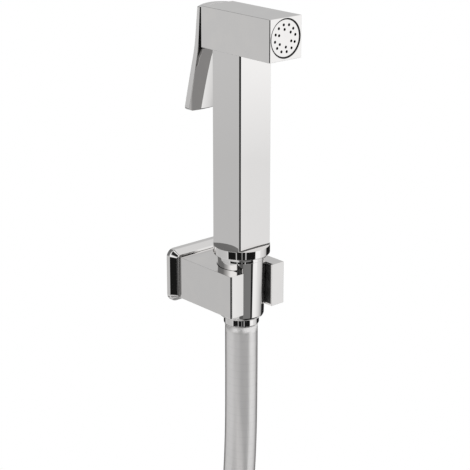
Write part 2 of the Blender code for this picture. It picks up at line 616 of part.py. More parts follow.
def handset_body():
    """One casting: square grip and head, the cone that leads the square into the round collar,
    the threaded spigot, and the water way through grip, valve chamber and gallery."""
    half = GRIP_SIDE / 2
    cone_slope = COLLAR_CONE_RISE / (COLLAR_RADIUS - half)
    apex = COLLAR_RADIUS * cone_slope
    band_foot = -COLLAR_BAND
    collar_foot = band_foot - COLLAR_CHAMFER
    spigot_foot = collar_foot - GAP - SPIGOT_LENGTH
    thread_edge = 2 * GAP
    collar_outline = [
        (0, apex), (COLLAR_RADIUS, 0), (COLLAR_RADIUS, band_foot),
        (COLLAR_FOOT_RADIUS, collar_foot), (SPIGOT_RADIUS, collar_foot),
        (SPIGOT_RADIUS, spigot_foot + thread_edge), (SPIGOT_RADIUS - thread_edge, spigot_foot),
        (0, spigot_foot),
    ]
    body = as_mesh(turned("handset_body", collar_outline, (0, AXIS_Y, GRIP_FOOT_Z), closed=False, steps=40))

    grip = block("grip", (-half, AXIS_Y - half, GRIP_FOOT_Z - COLLAR_BAND / 2),
                 (half, AXIS_Y + half, HEAD_FOOT_Z + HEAD_HEIGHT / 3), edge=GRIP_EDGE)
    for vert in grip.data.vertices:
        height = (vert.co.z - GRIP_FOOT_Z) / GRIP_LENGTH
        width = 1 + (GRIP_TOP_SIDE / GRIP_SIDE - 1) * height
        vert.co.x *= width
        vert.co.y = AXIS_Y + (vert.co.y - AXIS_Y) * width
    join(body, grip)
    head_half = HEAD_WIDTH / 2
    head = block("head", (-head_half, HEAD_FRONT_Y, HEAD_FOOT_Z),
                 (head_half, HEAD_BACK_Y, HEAD_TOP_Z), edge=HEAD_EDGE)
    join(body, head)

    bore_length = VALVE_Z - GRIP_FOOT_Z - spigot_foot + GAP
    bore_start = (0, AXIS_Y, GRIP_FOOT_Z + spigot_foot - GAP)
    cut(body, rod("grip_bore", GRIP_BORE_RADIUS, bore_start, UP, bore_length))

    nozzle_front = (0, HEAD_FRONT_Y - GAP, NOZZLE_Z)
    seal_radius = SPRAY_RADIUS + SEAL_WIDTH + 2 * SEAL_GAP
    seal_pocket = SPRAY_RECESS + SEAL_DEPTH + GAP
    cut(body, rod("seal_groove", seal_radius, nozzle_front, BACK, seal_pocket + GAP, steps=40))
    cut(body, rod("nozzle_chamber", SPRAY_RADIUS + GAP, nozzle_front, BACK,
                  NOZZLE_CHAMBER_DEPTH + GAP, steps=40))

    floor_start = (0, CHAMBER_FLOOR_Y - GAP, VALVE_Z)
    cut(body, rod("plug_bore", PLUG_RADIUS + GAP, floor_start, BACK,
                  CHAMBER_FRONT_Y - CHAMBER_FLOOR_Y + GAP, steps=24))
    cut(body, rod("valve_chamber", CHAMBER_RADIUS, (0, CHAMBER_FRONT_Y - GAP, VALVE_Z), BACK,
                  SEAT_Y - CHAMBER_FRONT_Y + GAP, steps=24))
    cut(body, rod("seat_hole", SEAT_RADIUS, (0, SEAT_Y - GAP, VALVE_Z), BACK,
                  SEAT_THICKNESS + 2 * GAP))
    cut(body, rod("rear_cavity", REAR_CAVITY_RADIUS, (0, REAR_CAVITY_Y, VALVE_Z), BACK,
                  REAR_CAVITY_LENGTH + GAP))
    cut(body, rod("gland_bore", GLAND_RADIUS + GAP, (0, GLAND_FRONT_Y, VALVE_Z), BACK,
                  HEAD_BACK_Y - GLAND_FRONT_Y + GAP))
    cut(body, rod("gallery", GALLERY_RADIUS, (0, CHAMBER_FLOOR_Y - GAP, GALLERY_Z), BACK,
                  GALLERY_END_Y + GALLERY_RADIUS - CHAMBER_FLOOR_Y + GAP, steps=16))
    cut(body, rod("riser", GALLERY_RADIUS, (0, GALLERY_END_Y, VALVE_Z), UP,
                  GALLERY_Z - VALVE_Z, steps=16))

    pocket_half = LUG_WIDTH / 2 + GAP
    cut(body, block("lever_pocket",
                    (-pocket_half, PIVOT_Y - LUG_RADIUS - GAP, PIVOT_Z - LUG_RADIUS - POCKET_BELOW_LUG),
                    (pocket_half, HEAD_BACK_Y + GAP, PIVOT_Z + LUG_RADIUS + GAP)))
    pin_start = (head_half + GAP, PIVOT_Y, PIVOT_Z)
    cut(body, rod("pin_hole", PIN_RADIUS + SEAL_GAP, pin_start, -RIGHT,
                  PIN_LENGTH + PIN_COVER + 2 * GAP, steps=20))
    keep(body, CHROME)


def spray_plate():
    """Nozzle disc with two rings of holes and a threaded skirt behind it."""
    front = HEAD_FRONT_Y + SPRAY_RECESS
    inner = SPRAY_RADIUS - SPRAY_SKIRT_WALL
    edge = SPRAY_RECESS
    outline = [
        (0, 0), (SPRAY_RADIUS - edge, 0), (SPRAY_RADIUS, -edge), (SPRAY_RADIUS, -SPRAY_SKIRT),
        (inner, -SPRAY_SKIRT), (inner, -SPRAY_THICKNESS), (0, -SPRAY_THICKNESS),
    ]
    plate = as_mesh(turned("spray_plate", outline, (0, front, NOZZLE_Z), FRONT, closed=False, steps=40))
    rings = (
        (OUTER_HOLES, OUTER_HOLE_CIRCLE, OUTER_FIRST_HOLE),
        (INNER_HOLES, INNER_HOLE_CIRCLE, INNER_FIRST_HOLE),
    )
    for count, circle, first in rings:
        for number in range(count):
            turn = first + number * 2 * pi / count
            start = (circle * sin(turn), front - GAP, NOZZLE_Z + circle * cos(turn))
            cut(plate, rod("spray_hole", SPRAY_HOLE_RADIUS, start, BACK,
                           SPRAY_THICKNESS + 2 * GAP, steps=8))
    keep(plate, CHROME)


def spray_seal():
    front = HEAD_FRONT_Y + SPRAY_RECESS
    inner = SPRAY_RADIUS + SEAL_GAP
    outer = inner + SEAL_WIDTH
    outline = [(outer, 0), (outer, -SEAL_DEPTH), (inner, -SEAL_DEPTH), (inner, 0)]
    keep(turned("spray_seal", outline, (0, front, NOZZLE_Z), FRONT, steps=40), RUBBER)


PLUG_REAR_Y = CHAMBER_FRONT_Y - GAP
PLUG_FRONT_Y = CHAMBER_FLOOR_Y + GAP


def valve_plug():
    """Screwed plug: seal groove near its inner end, driver slot in front, stem guide behind."""
    length = PLUG_REAR_Y - PLUG_FRONT_Y
    groove = PLUG_RADIUS + GAP - 2 * RING_WIRE - 2 * SEAL_GAP
    groove_half = RING_WIRE + SEAL_GAP
    guide_radius = STEM_RADIUS + STEM_CLEARANCE
    edge = GAP
    outline = [
        (0, length), (PLUG_RADIUS - edge, length), (PLUG_RADIUS, length - edge),
        (PLUG_RADIUS, PLUG_RING_FROM_REAR + groove_half), (groove, PLUG_RING_FROM_REAR + groove_half),
        (groove, PLUG_RING_FROM_REAR - groove_half), (PLUG_RADIUS, PLUG_RING_FROM_REAR - groove_half),
        (PLUG_RADIUS, 0), (guide_radius, 0), (guide_radius, PLUG_GUIDE_DEPTH), (0, PLUG_GUIDE_DEPTH),
    ]
    plug = as_mesh(turned("valve_plug", outline, (0, PLUG_REAR_Y, VALVE_Z), FRONT, closed=False, steps=24))
    half = PLUG_SLOT_WIDTH / 2
    cut(plug, block("driver_slot", (-PLUG_RADIUS, PLUG_FRONT_Y - GAP, VALVE_Z - half),
                    (PLUG_RADIUS, PLUG_FRONT_Y + PLUG_SLOT_DEPTH, VALVE_Z + half)))
    keep(plug, BRASS)
    circle = PLUG_RADIUS + GAP - SEAL_GAP - RING_WIRE
    ring_y = PLUG_REAR_Y - PLUG_RING_FROM_REAR
    seal_ring("plug_o_ring", circle, RING_WIRE, (0, ring_y, VALVE_Z), FRONT, RUBBER)


STEM_HUB_LENGTH = GAP + DISC_THICKNESS
DISC_REAR_Y = SEAT_Y - GAP
FLANGE_REAR_Y = DISC_REAR_Y - DISC_THICKNESS - GAP
FLANGE_FRONT_Y = FLANGE_REAR_Y - STEM_FLANGE_THICKNESS


def valve_stem():
    """Push rod: its nose slides in the plug, its end stands out behind for the lever to press."""
    end = lever_inner_y(VALVE_Z + STEM_RADIUS) - GAP - FLANGE_REAR_Y
    nose_tip = -(FLANGE_REAR_Y - PLUG_REAR_Y + STEM_NOSE)
    dome = STEM_RADIUS / 3
    outline = [
        (0, end), (STEM_RADIUS - dome, end), (STEM_RADIUS, end - dome),
        (STEM_RADIUS, STEM_HUB_LENGTH), (HUB_RADIUS, STEM_HUB_LENGTH), (HUB_RADIUS, 0),
        (STEM_FLANGE_RADIUS, 0), (STEM_FLANGE_RADIUS, -STEM_FLANGE_THICKNESS),
        (STEM_RADIUS, -STEM_FLANGE_THICKNESS), (STEM_RADIUS, nose_tip + dome),
        (STEM_RADIUS - dome, nose_tip), (0, nose_tip),
    ]
    stem = turned("valve_stem", outline, (0, FLANGE_REAR_Y, VALVE_Z), BACK, closed=False, steps=20)
    keep(stem, BRASS)


def valve_disc():
    bore = HUB_RADIUS + SEAL_GAP
    outline = [(DISC_RADIUS, DISC_THICKNESS), (DISC_RADIUS, 0), (bore, 0), (bore, DISC_THICKNESS)]
    origin = (0, DISC_REAR_Y - DISC_THICKNESS, VALVE_Z)
    keep(turned("valve_disc", outline, origin, BACK, steps=24), RUBBER)


def valve_spring():
    """Compression spring with closed end coils, between the plug and the stem's flange."""
    front = PLUG_REAR_Y + GAP + SPRING_WIRE_RADIUS
    rear = FLANGE_FRONT_Y - GAP - SPRING_WIRE_RADIUS
    closed_pitch = 2 * SPRING_WIRE_RADIUS + GAP
    open_turns = SPRING_TURNS - 2
    open_pitch = (rear - front - 2 * closed_pitch) / open_turns
    curve = bpy.data.curves.new("valve_spring", "CURVE")
    curve.dimensions = "3D"
    curve.bevel_depth = SPRING_WIRE_RADIUS
    curve.bevel_resolution = 1
    curve.use_fill_caps = True
    per_turn = 10
    count = SPRING_TURNS * per_turn + 1
    spline = curve.splines.new("POLY")
    spline.points.add(count - 1)
    for number, point in enumerate(spline.points):
        turn = number / per_turn
        along = closed_pitch * min(turn, 1)
        along += open_pitch * min(max(turn - 1, 0), open_turns)
        along += closed_pitch * max(turn - 1 - open_turns, 0)
        angle = 2 * pi * turn
        point.co = (SPRING_RADIUS * cos(angle), front + along, VALVE_Z + SPRING_RADIUS * sin(angle), 1)
    keep(bpy.data.objects.new("valve_spring", curve), STEEL)


def stem_gland():
    """Screwed gland in the head's back: seal groove inside, slot for a driver outside."""
    front_y = GLAND_FRONT_Y + GAP
    length = HEAD_BACK_Y - GAP - front_y
    bore = STEM_RADIUS + STEM_CLEARANCE
    groove = STEM_RADIUS + 2 * GLAND_RING_WIRE + 2 * SEAL_GAP
    groove_half = GLAND_RING_WIRE + SEAL_GAP
    middle = GLAND_RING_FROM_FRONT
    outline = [
        (GLAND_RADIUS, length), (GLAND_RADIUS, 0), (bore, 0), (bore, middle - groove_half),
        (groove, middle - groove_half), (groove, middle + groove_half), (bore, middle + groove_half),
        (bore, length),
    ]
    gland = as_mesh(turned("stem_gland", outline, (0, front_y, VALVE_Z), BACK, steps=24))
    half = PLUG_SLOT_WIDTH / 2
    face = front_y + length
    cut(gland, block("gland_slot", (-GLAND_RADIUS - GAP, face - GLAND_KEY_DEPTH, VALVE_Z - half),
                     (GLAND_RADIUS + GAP, face + GAP, VALVE_Z + half)))
    keep(gland, BRASS)
    circle = STEM_RADIUS + SEAL_GAP + GLAND_RING_WIRE
    seal_ring("gland_o_ring", circle, GLAND_RING_WIRE, (0, front_y + middle, VALVE_Z), BACK, RUBBER)


# Trigger lever

LEVER_TOP_Z = HEAD_TOP_Z - LEVER_TOP_DROP + LEVER_ARCH
LEVER_FOOT_Z = HEAD_FOOT_Z - LEVER_REACH_DOWN
LEVER_BEND_Z = HEAD_FOOT_Z - LEVER_BEND_BELOW_HEAD


def lever_inner_y(z):
    """The lever's inner face: two straight runs with a soft bend at the head's foot."""
    upper = tan(LEVER_UPPER_TILT)
    lower = tan(LEVER_LOWER_TILT)
    y = HEAD_BACK_Y + LEVER_TOP_STANDOFF + upper * (LEVER_TOP_Z - z)
    past = LEVER_BEND_Z + LEVER_BEND_SPREAD - z
    if past > 0:
        bend = min(past, 2 * LEVER_BEND_SPREAD)
        y += (lower - upper) * bend * bend / (4 * LEVER_BEND_SPREAD)
        y += (lower - upper) * max(past - 2 * LEVER_BEND_SPREAD, 0)
    return y


def lever_thickness(z):
    share = min((LEVER_TOP_Z - z) / (LEVER_TOP_Z - LEVER_FOOT_Z), 1)
    return LEVER_TOP_THICKNESS + (LEVER_THICKNESS - LEVER_TOP_THICKNESS) * sin(share * pi / 2)


def lever_side_outline():
    """Side view of the lever, (y, z), with a rounded tip."""
    levels = 10
    tip_round = LEVER_THICKNESS / 3
    foot = LEVER_FOOT_Z + tip_round
    heights = [LEVER_TOP_Z + (foot - LEVER_TOP_Z) * step / levels for step in range(levels + 1)]
    inner = [(lever_inner_y(z), z) for z in heights]
    outer = [(lever_inner_y(z) + lever_thickness(z), z) for z in heights]
    lean = tan(LEVER_LOWER_TILT) * tip_round
    tip = [
        (inner[-1][0] + lean + tip_round * 0.4, LEVER_FOOT_Z + tip_round * 0.25),
        (inner[-1][0] + lean + tip_round, LEVER_FOOT_Z),
        (outer[-1][0] + lean - tip_round, LEVER_FOOT_Z),
        (outer[-1][0] + lean - tip_round * 0.4, LEVER_FOOT_Z + tip_round * 0.25),
    ]
    return inner + tip + outer[::-1]


def lever_front_outline():
    """Front view of the lever, (x, z): arched top edge and rounded lower corners."""
    half = HEAD_WIDTH / 2
    points = []
    steps = 10
    for step in range(steps + 1):
        x = half - 2 * half * step / steps
        points.append((x, LEVER_TOP_Z - LEVER_ARCH * (x / half) ** 2))
    for side, first in ((-1, pi), (1, 3 * pi / 2)):
        for step in range(7):
            turn = first + step / 6 * pi / 2
            centre_x = side * (half - LEVER_CORNER)
            centre_z = LEVER_FOOT_Z + LEVER_CORNER
            points.append((centre_x + LEVER_CORNER * cos(turn), centre_z + LEVER_CORNER * sin(turn)))
    return points


def lever():
    """Bent trigger plate with a crowned back, and the lug that reaches into the head's pocket."""
    half = HEAD_WIDTH / 2
    plate = prism("lever", [lever_side_outline()], -half, half, "X")
    bm = bmesh.new()
    bm.from_mesh(plate.data)
    columns = 6
    for column in range(1, columns):
        x = -half + 2 * half * column / columns
        geometry = bm.verts[:] + bm.edges[:] + bm.faces[:]
        bmesh.ops.bisect_plane(bm, geom=geometry, plane_co=(x, 0, 0), plane_no=RIGHT)
    for vert in bm.verts:
        middle = lever_inner_y(vert.co.z) + lever_thickness(vert.co.z) / 2
        if vert.co.y > middle:
            height = (vert.co.z - LEVER_FOOT_Z) / (LEVER_TOP_Z - LEVER_FOOT_Z)
            vert.co.y += LEVER_CROWN * max(height, 0) * (1 - (vert.co.x / half) ** 2)
    bm.to_mesh(plate.data)
    bm.free()
    pivot = Vector((0, PIVOT_Y, PIVOT_Z))
    set_origin(plate, pivot)
    far = HEAD_BACK_Y + LEVER_TOP_STANDOFF + LEVER_TOP_THICKNESS + LEVER_CROWN + LEVER_REACH_DOWN
    within(plate, prism("lever_front", [lever_front_outline()], HEAD_BACK_Y, far, "Y"))
    round_off = plate.modifiers.new("edges", "BEVEL")
    round_off.width = LEVER_EDGE
    round_off.segments = 2
    round_off.limit_method = "ANGLE"
    round_off.angle_limit = radians(50)
    reach_y = lever_inner_y(PIVOT_Z) + LEVER_TOP_THICKNESS / 2
    lug = [(reach_y, PIVOT_Z - LUG_RADIUS), (reach_y, PIVOT_Z + LUG_RADIUS)]
    for step in range(17):
        turn = pi / 2 + step / 16 * pi
        lug.append((PIVOT_Y + LUG_RADIUS * cos(turn), PIVOT_Z + LUG_RADIUS * sin(turn)))
    join(plate, prism("lug", [lug], -LUG_WIDTH / 2, LUG_WIDTH / 2, "X"))
    hole_start = (-LUG_WIDTH / 2 - GAP, PIVOT_Y, PIVOT_Z)
    cut(plate, rod("lug_hole", PIN_RADIUS + SEAL_GAP, hole_start, RIGHT, LUG_WIDTH + 2 * GAP, steps=16))
    keep(plate, CHROME)


def lever_pin():
    start = (HEAD_WIDTH / 2 - PIN_COVER, PIVOT_Y, PIVOT_Z)
    keep(rod("lever_pin", PIN_RADIUS, start, -RIGHT, PIN_LENGTH, steps=24), STEEL)


# Hose


def smooth_route(route, spacing):
    """Points about spacing apart on a smooth curve through the route's own points."""
    points = []
    padded = [route[0] * 2 - route[1], *route, route[-1] * 2 - route[-2]]
    for a, b, c, d in zip(padded, padded[1:], padded[2:], padded[3:]):
        steps = max(1, round((c - b).length / spacing))
        for step in range(steps):
            t = step / steps
            points.append(
                (b * 2 + (c - a) * t + (a * 2 - b * 5 + c * 4 - d) * t**2
                 + (b * 3 - a - c * 3 + d) * t**3) / 2
            )
    return [*points, route[-1]]


def hose_tube(name, route):
    curve = bpy.data.curves.new(name, "CURVE")
    curve.dimensions = "3D"
    curve.bevel_depth = HOSE_RADIUS
    curve.bevel_resolution = 4
    curve.use_fill_caps = True
    points = smooth_route(route, 2 * HOSE_RADIUS)
    spline = curve.splines.new("POLY")
    spline.points.add(len(points) - 1)
    for point, place in zip(spline.points, points):
        point.co = (*place, 1)
    keep(bpy.data.objects.new(name, curve), HOSE_SKIN)


def hose():
    top_z = NUT_FOOT_Z - FERRULE_SHOW - GAP
    route = [Vector((0, AXIS_Y, top_z))]
    route += [Vector((x, AXIS_Y, GRIP_FOOT_Z - below)) for x, below in HOSE_ROUTE]
    route.append(Vector((COIL_ENTRY_X, AXIS_Y, COIL_CENTRE_Z + COIL_STUB + GAP)))
    hose_tube("hose", route)


def hose_coil():
    """Outer shape of the coiled hose: a flat ring of three passes, with the straight ends."""
    inner = COIL_RADIUS - HOSE_RADIUS
    outer = COIL_RADIUS + HOSE_RADIUS
    soft = HOSE_RADIUS / 2
    outline = []
    corners = (
        (outer - soft, COIL_DEPTH - soft, pi / 2), (outer - soft, soft, 0),
        (inner + soft, soft, -pi / 2), (inner + soft, COIL_DEPTH - soft, -pi),
    )
    for radius, height, first in corners:
        for step in range(3):
            turn = first - step / 2 * pi / 2
            outline.append((radius + soft * cos(turn), height + soft * sin(turn)))
    origin = (COIL_CENTRE_X, AXIS_Y + HOSE_RADIUS, COIL_CENTRE_Z)
    ring = as_mesh(turned("hose_coil", outline, origin, FRONT, steps=48))
    top_start = (COIL_ENTRY_X, AXIS_Y, COIL_CENTRE_Z)
    join(ring, rod("coil_entry", HOSE_RADIUS, top_start, UP, COIL_STUB, steps=16))
    foot_start = (COIL_ENTRY_X, COIL_EXIT_Y, COIL_CENTRE_Z)
    join(ring, rod("coil_exit", HOSE_RADIUS, foot_start, DOWN, COIL_STUB, steps=16))
    keep(ring, HOSE_SKIN)


def hose_tie():
    """Strap around the coil, on the side away from the hose's ends."""
    inner_x = 2 * HOSE_RADIUS + 2 * GAP
    inner_y = COIL_DEPTH + 2 * GAP
    centre = (COIL_CENTRE_X - COIL_RADIUS, AXIS_Y + HOSE_RADIUS - COIL_DEPTH / 2)
    soft = HOSE_RADIUS / 2
    outer = rounded_rectangle(
        inner_x + 2 * TIE_THICKNESS, inner_y + 2 * TIE_THICKNESS, soft + TIE_THICKNESS, centre
    )
    hole = rounded_rectangle(inner_x, inner_y, soft / 2, centre)
    low_z = COIL_CENTRE_Z - TIE_WIDTH / 2
    keep(prism("hose_tie", [outer, hole], low_z, low_z + TIE_WIDTH, "Z"), BLACK_PLASTIC)


INLET_FERRULE_TOP_Z = COIL_CENTRE_Z - COIL_STUB - GAP
INLET_FERRULE_FOOT_Z = INLET_FERRULE_TOP_Z - INLET_FERRULE_LENGTH
INLET_NUT_TOP_Z = INLET_FERRULE_FOOT_Z - GAP
INLET_FLANGE_TOP_Z = INLET_NUT_TOP_Z - INLET_NUT_SHOULDER - GAP


def inlet_ferrule():
    edge = 2 * GAP
    bore = INSERT_TAIL_RADIUS + GAP
    outline = [
        (FERRULE_RADIUS - edge, INLET_FERRULE_TOP_Z), (FERRULE_RADIUS, INLET_FERRULE_TOP_Z - edge),
        (FERRULE_RADIUS, INLET_FERRULE_FOOT_Z + edge), (FERRULE_RADIUS - edge, INLET_FERRULE_FOOT_Z),
        (bore, INLET_FERRULE_FOOT_Z), (bore, INLET_FERRULE_TOP_Z),
    ]
    origin = (COIL_ENTRY_X, COIL_EXIT_Y, 0)
    keep(turned("inlet_ferrule", outline, origin), CHROME)


def inlet_insert():
    tail_z = INLET_FERRULE_TOP_Z - GAP
    flange_foot = INLET_FLANGE_TOP_Z - FLANGE_THICKNESS
    outline = [
        (INSERT_TAIL_RADIUS, tail_z), (INSERT_TAIL_RADIUS, INLET_NUT_TOP_Z),
        (INSERT_NECK_RADIUS, INLET_NUT_TOP_Z), (INSERT_NECK_RADIUS, INLET_FLANGE_TOP_Z),
        (THREAD_RADIUS - GAP, INLET_FLANGE_TOP_Z), (THREAD_RADIUS - GAP, flange_foot),
        (INSERT_BORE_RADIUS, flange_foot), (INSERT_BORE_RADIUS, tail_z),
    ]
    origin = (COIL_ENTRY_X, COIL_EXIT_Y, 0)
    keep(turned("inlet_insert", outline, origin, steps=20), BRASS)


def inlet_nut():
    """Hexagon swivel nut with chamfered ends and a shoulder behind the insert's flange."""
    foot_z = INLET_NUT_TOP_Z - INLET_NUT_LENGTH
    corner = INLET_NUT_FLATS / sqrt(3)
    centre = Vector((COIL_ENTRY_X, COIL_EXIT_Y, 0))
    start = centre + UP * foot_z
    nut = rod("inlet_nut", corner, start + DOWN * GAP, UP, INLET_NUT_LENGTH + 2 * GAP, steps=6)
    set_origin(nut, start)
    rim = INLET_NUT_FLATS / 2 - GAP
    outline = [
        (0, INLET_NUT_TOP_Z), (rim, INLET_NUT_TOP_Z), (rim + 2 * HEX_CHAMFER, INLET_NUT_TOP_Z - HEX_CHAMFER),
        (rim + 2 * HEX_CHAMFER, foot_z + HEX_CHAMFER), (rim, foot_z), (0, foot_z),
    ]
    within(nut, as_mesh(turned("hex_chamfers", outline, centre, closed=False, steps=36)))
    bore_top = INLET_NUT_TOP_Z - INLET_NUT_SHOULDER
    cut(nut, rod("inlet_thread", THREAD_RADIUS, start + DOWN * GAP, UP, bore_top - foot_z + GAP, steps=24))
    neck_start = start + UP * (bore_top - foot_z - GAP)
    cut(nut, rod("inlet_neck_hole", INSERT_NECK_RADIUS + GAP, neck_start, UP,
                 INLET_NUT_SHOULDER + 2 * GAP))
    keep(nut, CHROME)


def washers():
    bore = WASHER_BORE_RADIUS
    outer = THREAD_RADIUS - GAP
    hose_washer_top = NUT_TOP_Z - SPIGOT_LENGTH - GAP
    washer("hose_washer", bore, outer, hose_washer_top, WASHER_THICKNESS, AXIS_Y, RUBBER)
    inlet_top = INLET_FLANGE_TOP_Z - FLANGE_THICKNESS - GAP
    washer("inlet_washer", bore, outer, inlet_top, WASHER_THICKNESS, COIL_EXIT_Y, RUBBER, COIL_ENTRY_X)


wall_plate()
wall_base()
grub_screw()
cradle()
cradle_liner()
cradle_screw("cradle_screw_left", -1)
cradle_screw("cradle_screw_right", 1)
handset_body()
spray_plate()
spray_seal()
valve_plug()
valve_stem()
valve_disc()
valve_spring()
stem_gland()
lever()
lever_pin()
hose_nut()
hose_insert()
hose_ferrule()
hose()
hose_coil()
hose_tie()
inlet_ferrule()
inlet_insert()
inlet_nut()
washers()
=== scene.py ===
import json
from math import asin, cos, degrees, pi, radians, sin, sqrt, tan

import bmesh
import bpy
from mathutils import Matrix, Vector


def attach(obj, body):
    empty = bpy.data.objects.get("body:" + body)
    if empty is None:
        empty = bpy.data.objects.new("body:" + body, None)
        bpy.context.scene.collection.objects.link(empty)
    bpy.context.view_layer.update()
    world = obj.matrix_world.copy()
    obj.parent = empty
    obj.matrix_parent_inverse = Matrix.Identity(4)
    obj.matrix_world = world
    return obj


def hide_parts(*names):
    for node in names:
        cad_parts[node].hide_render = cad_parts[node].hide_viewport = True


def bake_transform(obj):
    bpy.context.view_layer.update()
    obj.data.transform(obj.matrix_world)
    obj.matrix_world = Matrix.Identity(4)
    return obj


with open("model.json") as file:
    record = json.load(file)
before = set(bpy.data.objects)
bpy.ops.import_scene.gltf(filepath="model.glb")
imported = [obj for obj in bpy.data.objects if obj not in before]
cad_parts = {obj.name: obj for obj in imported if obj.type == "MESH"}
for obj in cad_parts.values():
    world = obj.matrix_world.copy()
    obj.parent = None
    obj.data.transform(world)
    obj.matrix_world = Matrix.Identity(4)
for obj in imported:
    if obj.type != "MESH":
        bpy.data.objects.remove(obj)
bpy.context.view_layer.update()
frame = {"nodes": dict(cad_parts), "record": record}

NODES = frame["nodes"]
SCENE = bpy.context.scene
UP, FRONT, BACK, RIGHT = (Vector(way) for way in ((0, 0, 1), (0, -1, 0), (0, 1, 0), (1, 0, 0)))

# Sizes in metres, most of them shared with the CAD model. The wall's face is at y = 0.
GAP = 0.0003
AXIS_Y = -0.0340

# Cover plate
PLATE_WIDTH, PLATE_HEIGHT, PLATE_DEPTH, PLATE_CORNER = 0.0436, 0.0287, 0.0059, 0.0043
PLATE_RIM_WIDTH, PLATE_RIM_DEPTH, PLATE_RIM_EDGE = 0.0026, 0.0036, 0.0005
PLATE_WALL, PLATE_FRONT_WALL = 0.0016, 0.0018
GRUB_HOLE_R, GRUB_HOLE_Y = 0.00105, -0.0015
SCREW_X, SCREW_HOLE_R, SCREW_THREAD_R, SCREW_THREAD_LENGTH = 0.0065, 0.0018, 0.00165, 0.0079

# Cradle and liner
CRADLE_WIDTH, CRADLE_HEIGHT, SLOT_WIDTH = 0.0361, 0.0225, 0.01934
CRADLE_EDGE, CRADLE_RIM, FRONT_EDGE, CRADLE_LIP = 0.0011, 0.0001, 0.0003, 0.0010
CRADLE_TOP_Z = PLATE_HEIGHT / 2 - 0.0035
CRADLE_FOOT_Z = CRADLE_TOP_Z - CRADLE_HEIGHT
CRADLE_MIDDLE_Z = (CRADLE_TOP_Z + CRADLE_FOOT_Z) / 2
CRADLE_FRONT_Y = AXIS_Y - 0.0125
CRADLE_BACK_Y = -PLATE_DEPTH - GAP
LINER_WALL, LINER_FRONT_RIM, LINER_FOOT, LINER_EDGE = 0.0011, 0.0006, 0.0010, 0.00012
LINER_FRONT_Y = CRADLE_FRONT_Y + LINER_FRONT_RIM + GAP
LEG_TRIM = 0.00001

# Hose nut and sleeves
SPIGOT_R, SPIGOT_LENGTH, SPIGOT_EDGE, SPIGOT_BORE_R = 0.01048, 0.0110, 0.0006, 0.0048
NUT_TOP_Z = CRADLE_TOP_Z + 0.0036
NUT_RIM_Z = NUT_TOP_Z + GAP - 0.00005  # all but touches the collar
NUT_LENGTH, NUT_TOP_R, NUT_FOOT_R, NUT_ROUND, NUT_EDGE = 0.0316, 0.01245, 0.01160, 0.0021, 0.00006
NUT_FOOT_Z = NUT_TOP_Z - NUT_LENGTH
WASHER, FLANGE, NUT_SHOULDER, NECK_R = 0.0020, 0.0020, 0.0025, 0.0071
NUT_SHOULDER_Z = NUT_TOP_Z - SPIGOT_LENGTH - WASHER - FLANGE - 3 * GAP
FERRULE_R, FERRULE_BORE_R, FERRULE_SHOW = 0.00915, 0.0056, 0.0039
FERRULE_TOP_EDGE, FERRULE_FOOT_EDGE = 0.0006, 0.0004

# Handset
COLLAR_R, COLLAR_BAND, COLLAR_CHAMFER, COLLAR_FOOT_R = 0.0146, 0.0043, 0.0027, 0.0125
COLLAR_EDGE, COLLAR_COVE, CONE_RISE = 0.0002, 0.4 * COLLAR_CHAMFER, 0.0002
GRIP_FOOT_Z = NUT_TOP_Z + GAP + COLLAR_CHAMFER + COLLAR_BAND
GRIP_SIDE, GRIP_TOP_SIDE, GRIP_LENGTH, GRIP_EDGE = 0.0205, 0.0204, 0.0997, 0.0010
CONE_SLOPE = CONE_RISE / (COLLAR_R - GRIP_SIDE / 2)
HEAD_WIDTH, HEAD_HEIGHT, HEAD_EDGE = 0.0205, 0.02065, 0.0005
HEAD_FOOT_Z = GRIP_FOOT_Z + GRIP_LENGTH
HEAD_TOP_Z = HEAD_FOOT_Z + HEAD_HEIGHT
HEAD_FRONT_Y = AXIS_Y - 0.0313
HEAD_BACK_Y = AXIS_Y + 0.0186
NOZZLE_Z = HEAD_FOOT_Z + HEAD_HEIGHT / 2 + 0.0003
SPRAY_R, SPRAY_RECESS, SPRAY_WALL, SPRAY_EDGE = 0.0090, 0.00035, 0.0012, 0.0002
SPRAY_SKIRT_R, SPRAY_SKIRT_DEPTH = SPRAY_R - 0.0009, 0.0036
SPRAY_HOLE_R, SPRAY_HOLE_LENGTH = 0.00072, 0.0018
SPRAY_HOLES = ((12, 0.0066, 21), (6, 0.0043, -6))  # number, circle, first one's degrees
SEAL_WIDTH, SEAL_GAP, SEAL_TRIM, SEAL_EDGE, SEAL_DEPTH = 0.0004, 0.00015, 0.00005, 0.0001, 0.0012
SEAL_GROOVE_R, SEAL_GROOVE_DEPTH = SPRAY_R + SEAL_WIDTH + 2 * SEAL_GAP, 0.0020
CHAMBER_DEPTH, GLAND_BORE_R, GLAND_BORE_DEPTH, GLAND_BORE_LENGTH = 0.0063, 0.0043, 0.0080, 0.0100
VALVE_Z = NOZZLE_Z - 0.0038
SPRING_FRONT_Y, SPRING_REAR_Y, SPRING_R, SPRING_WIRE_R, SPRING_TURNS = -0.04959, -0.03530, 0.0028, 0.0004, 7

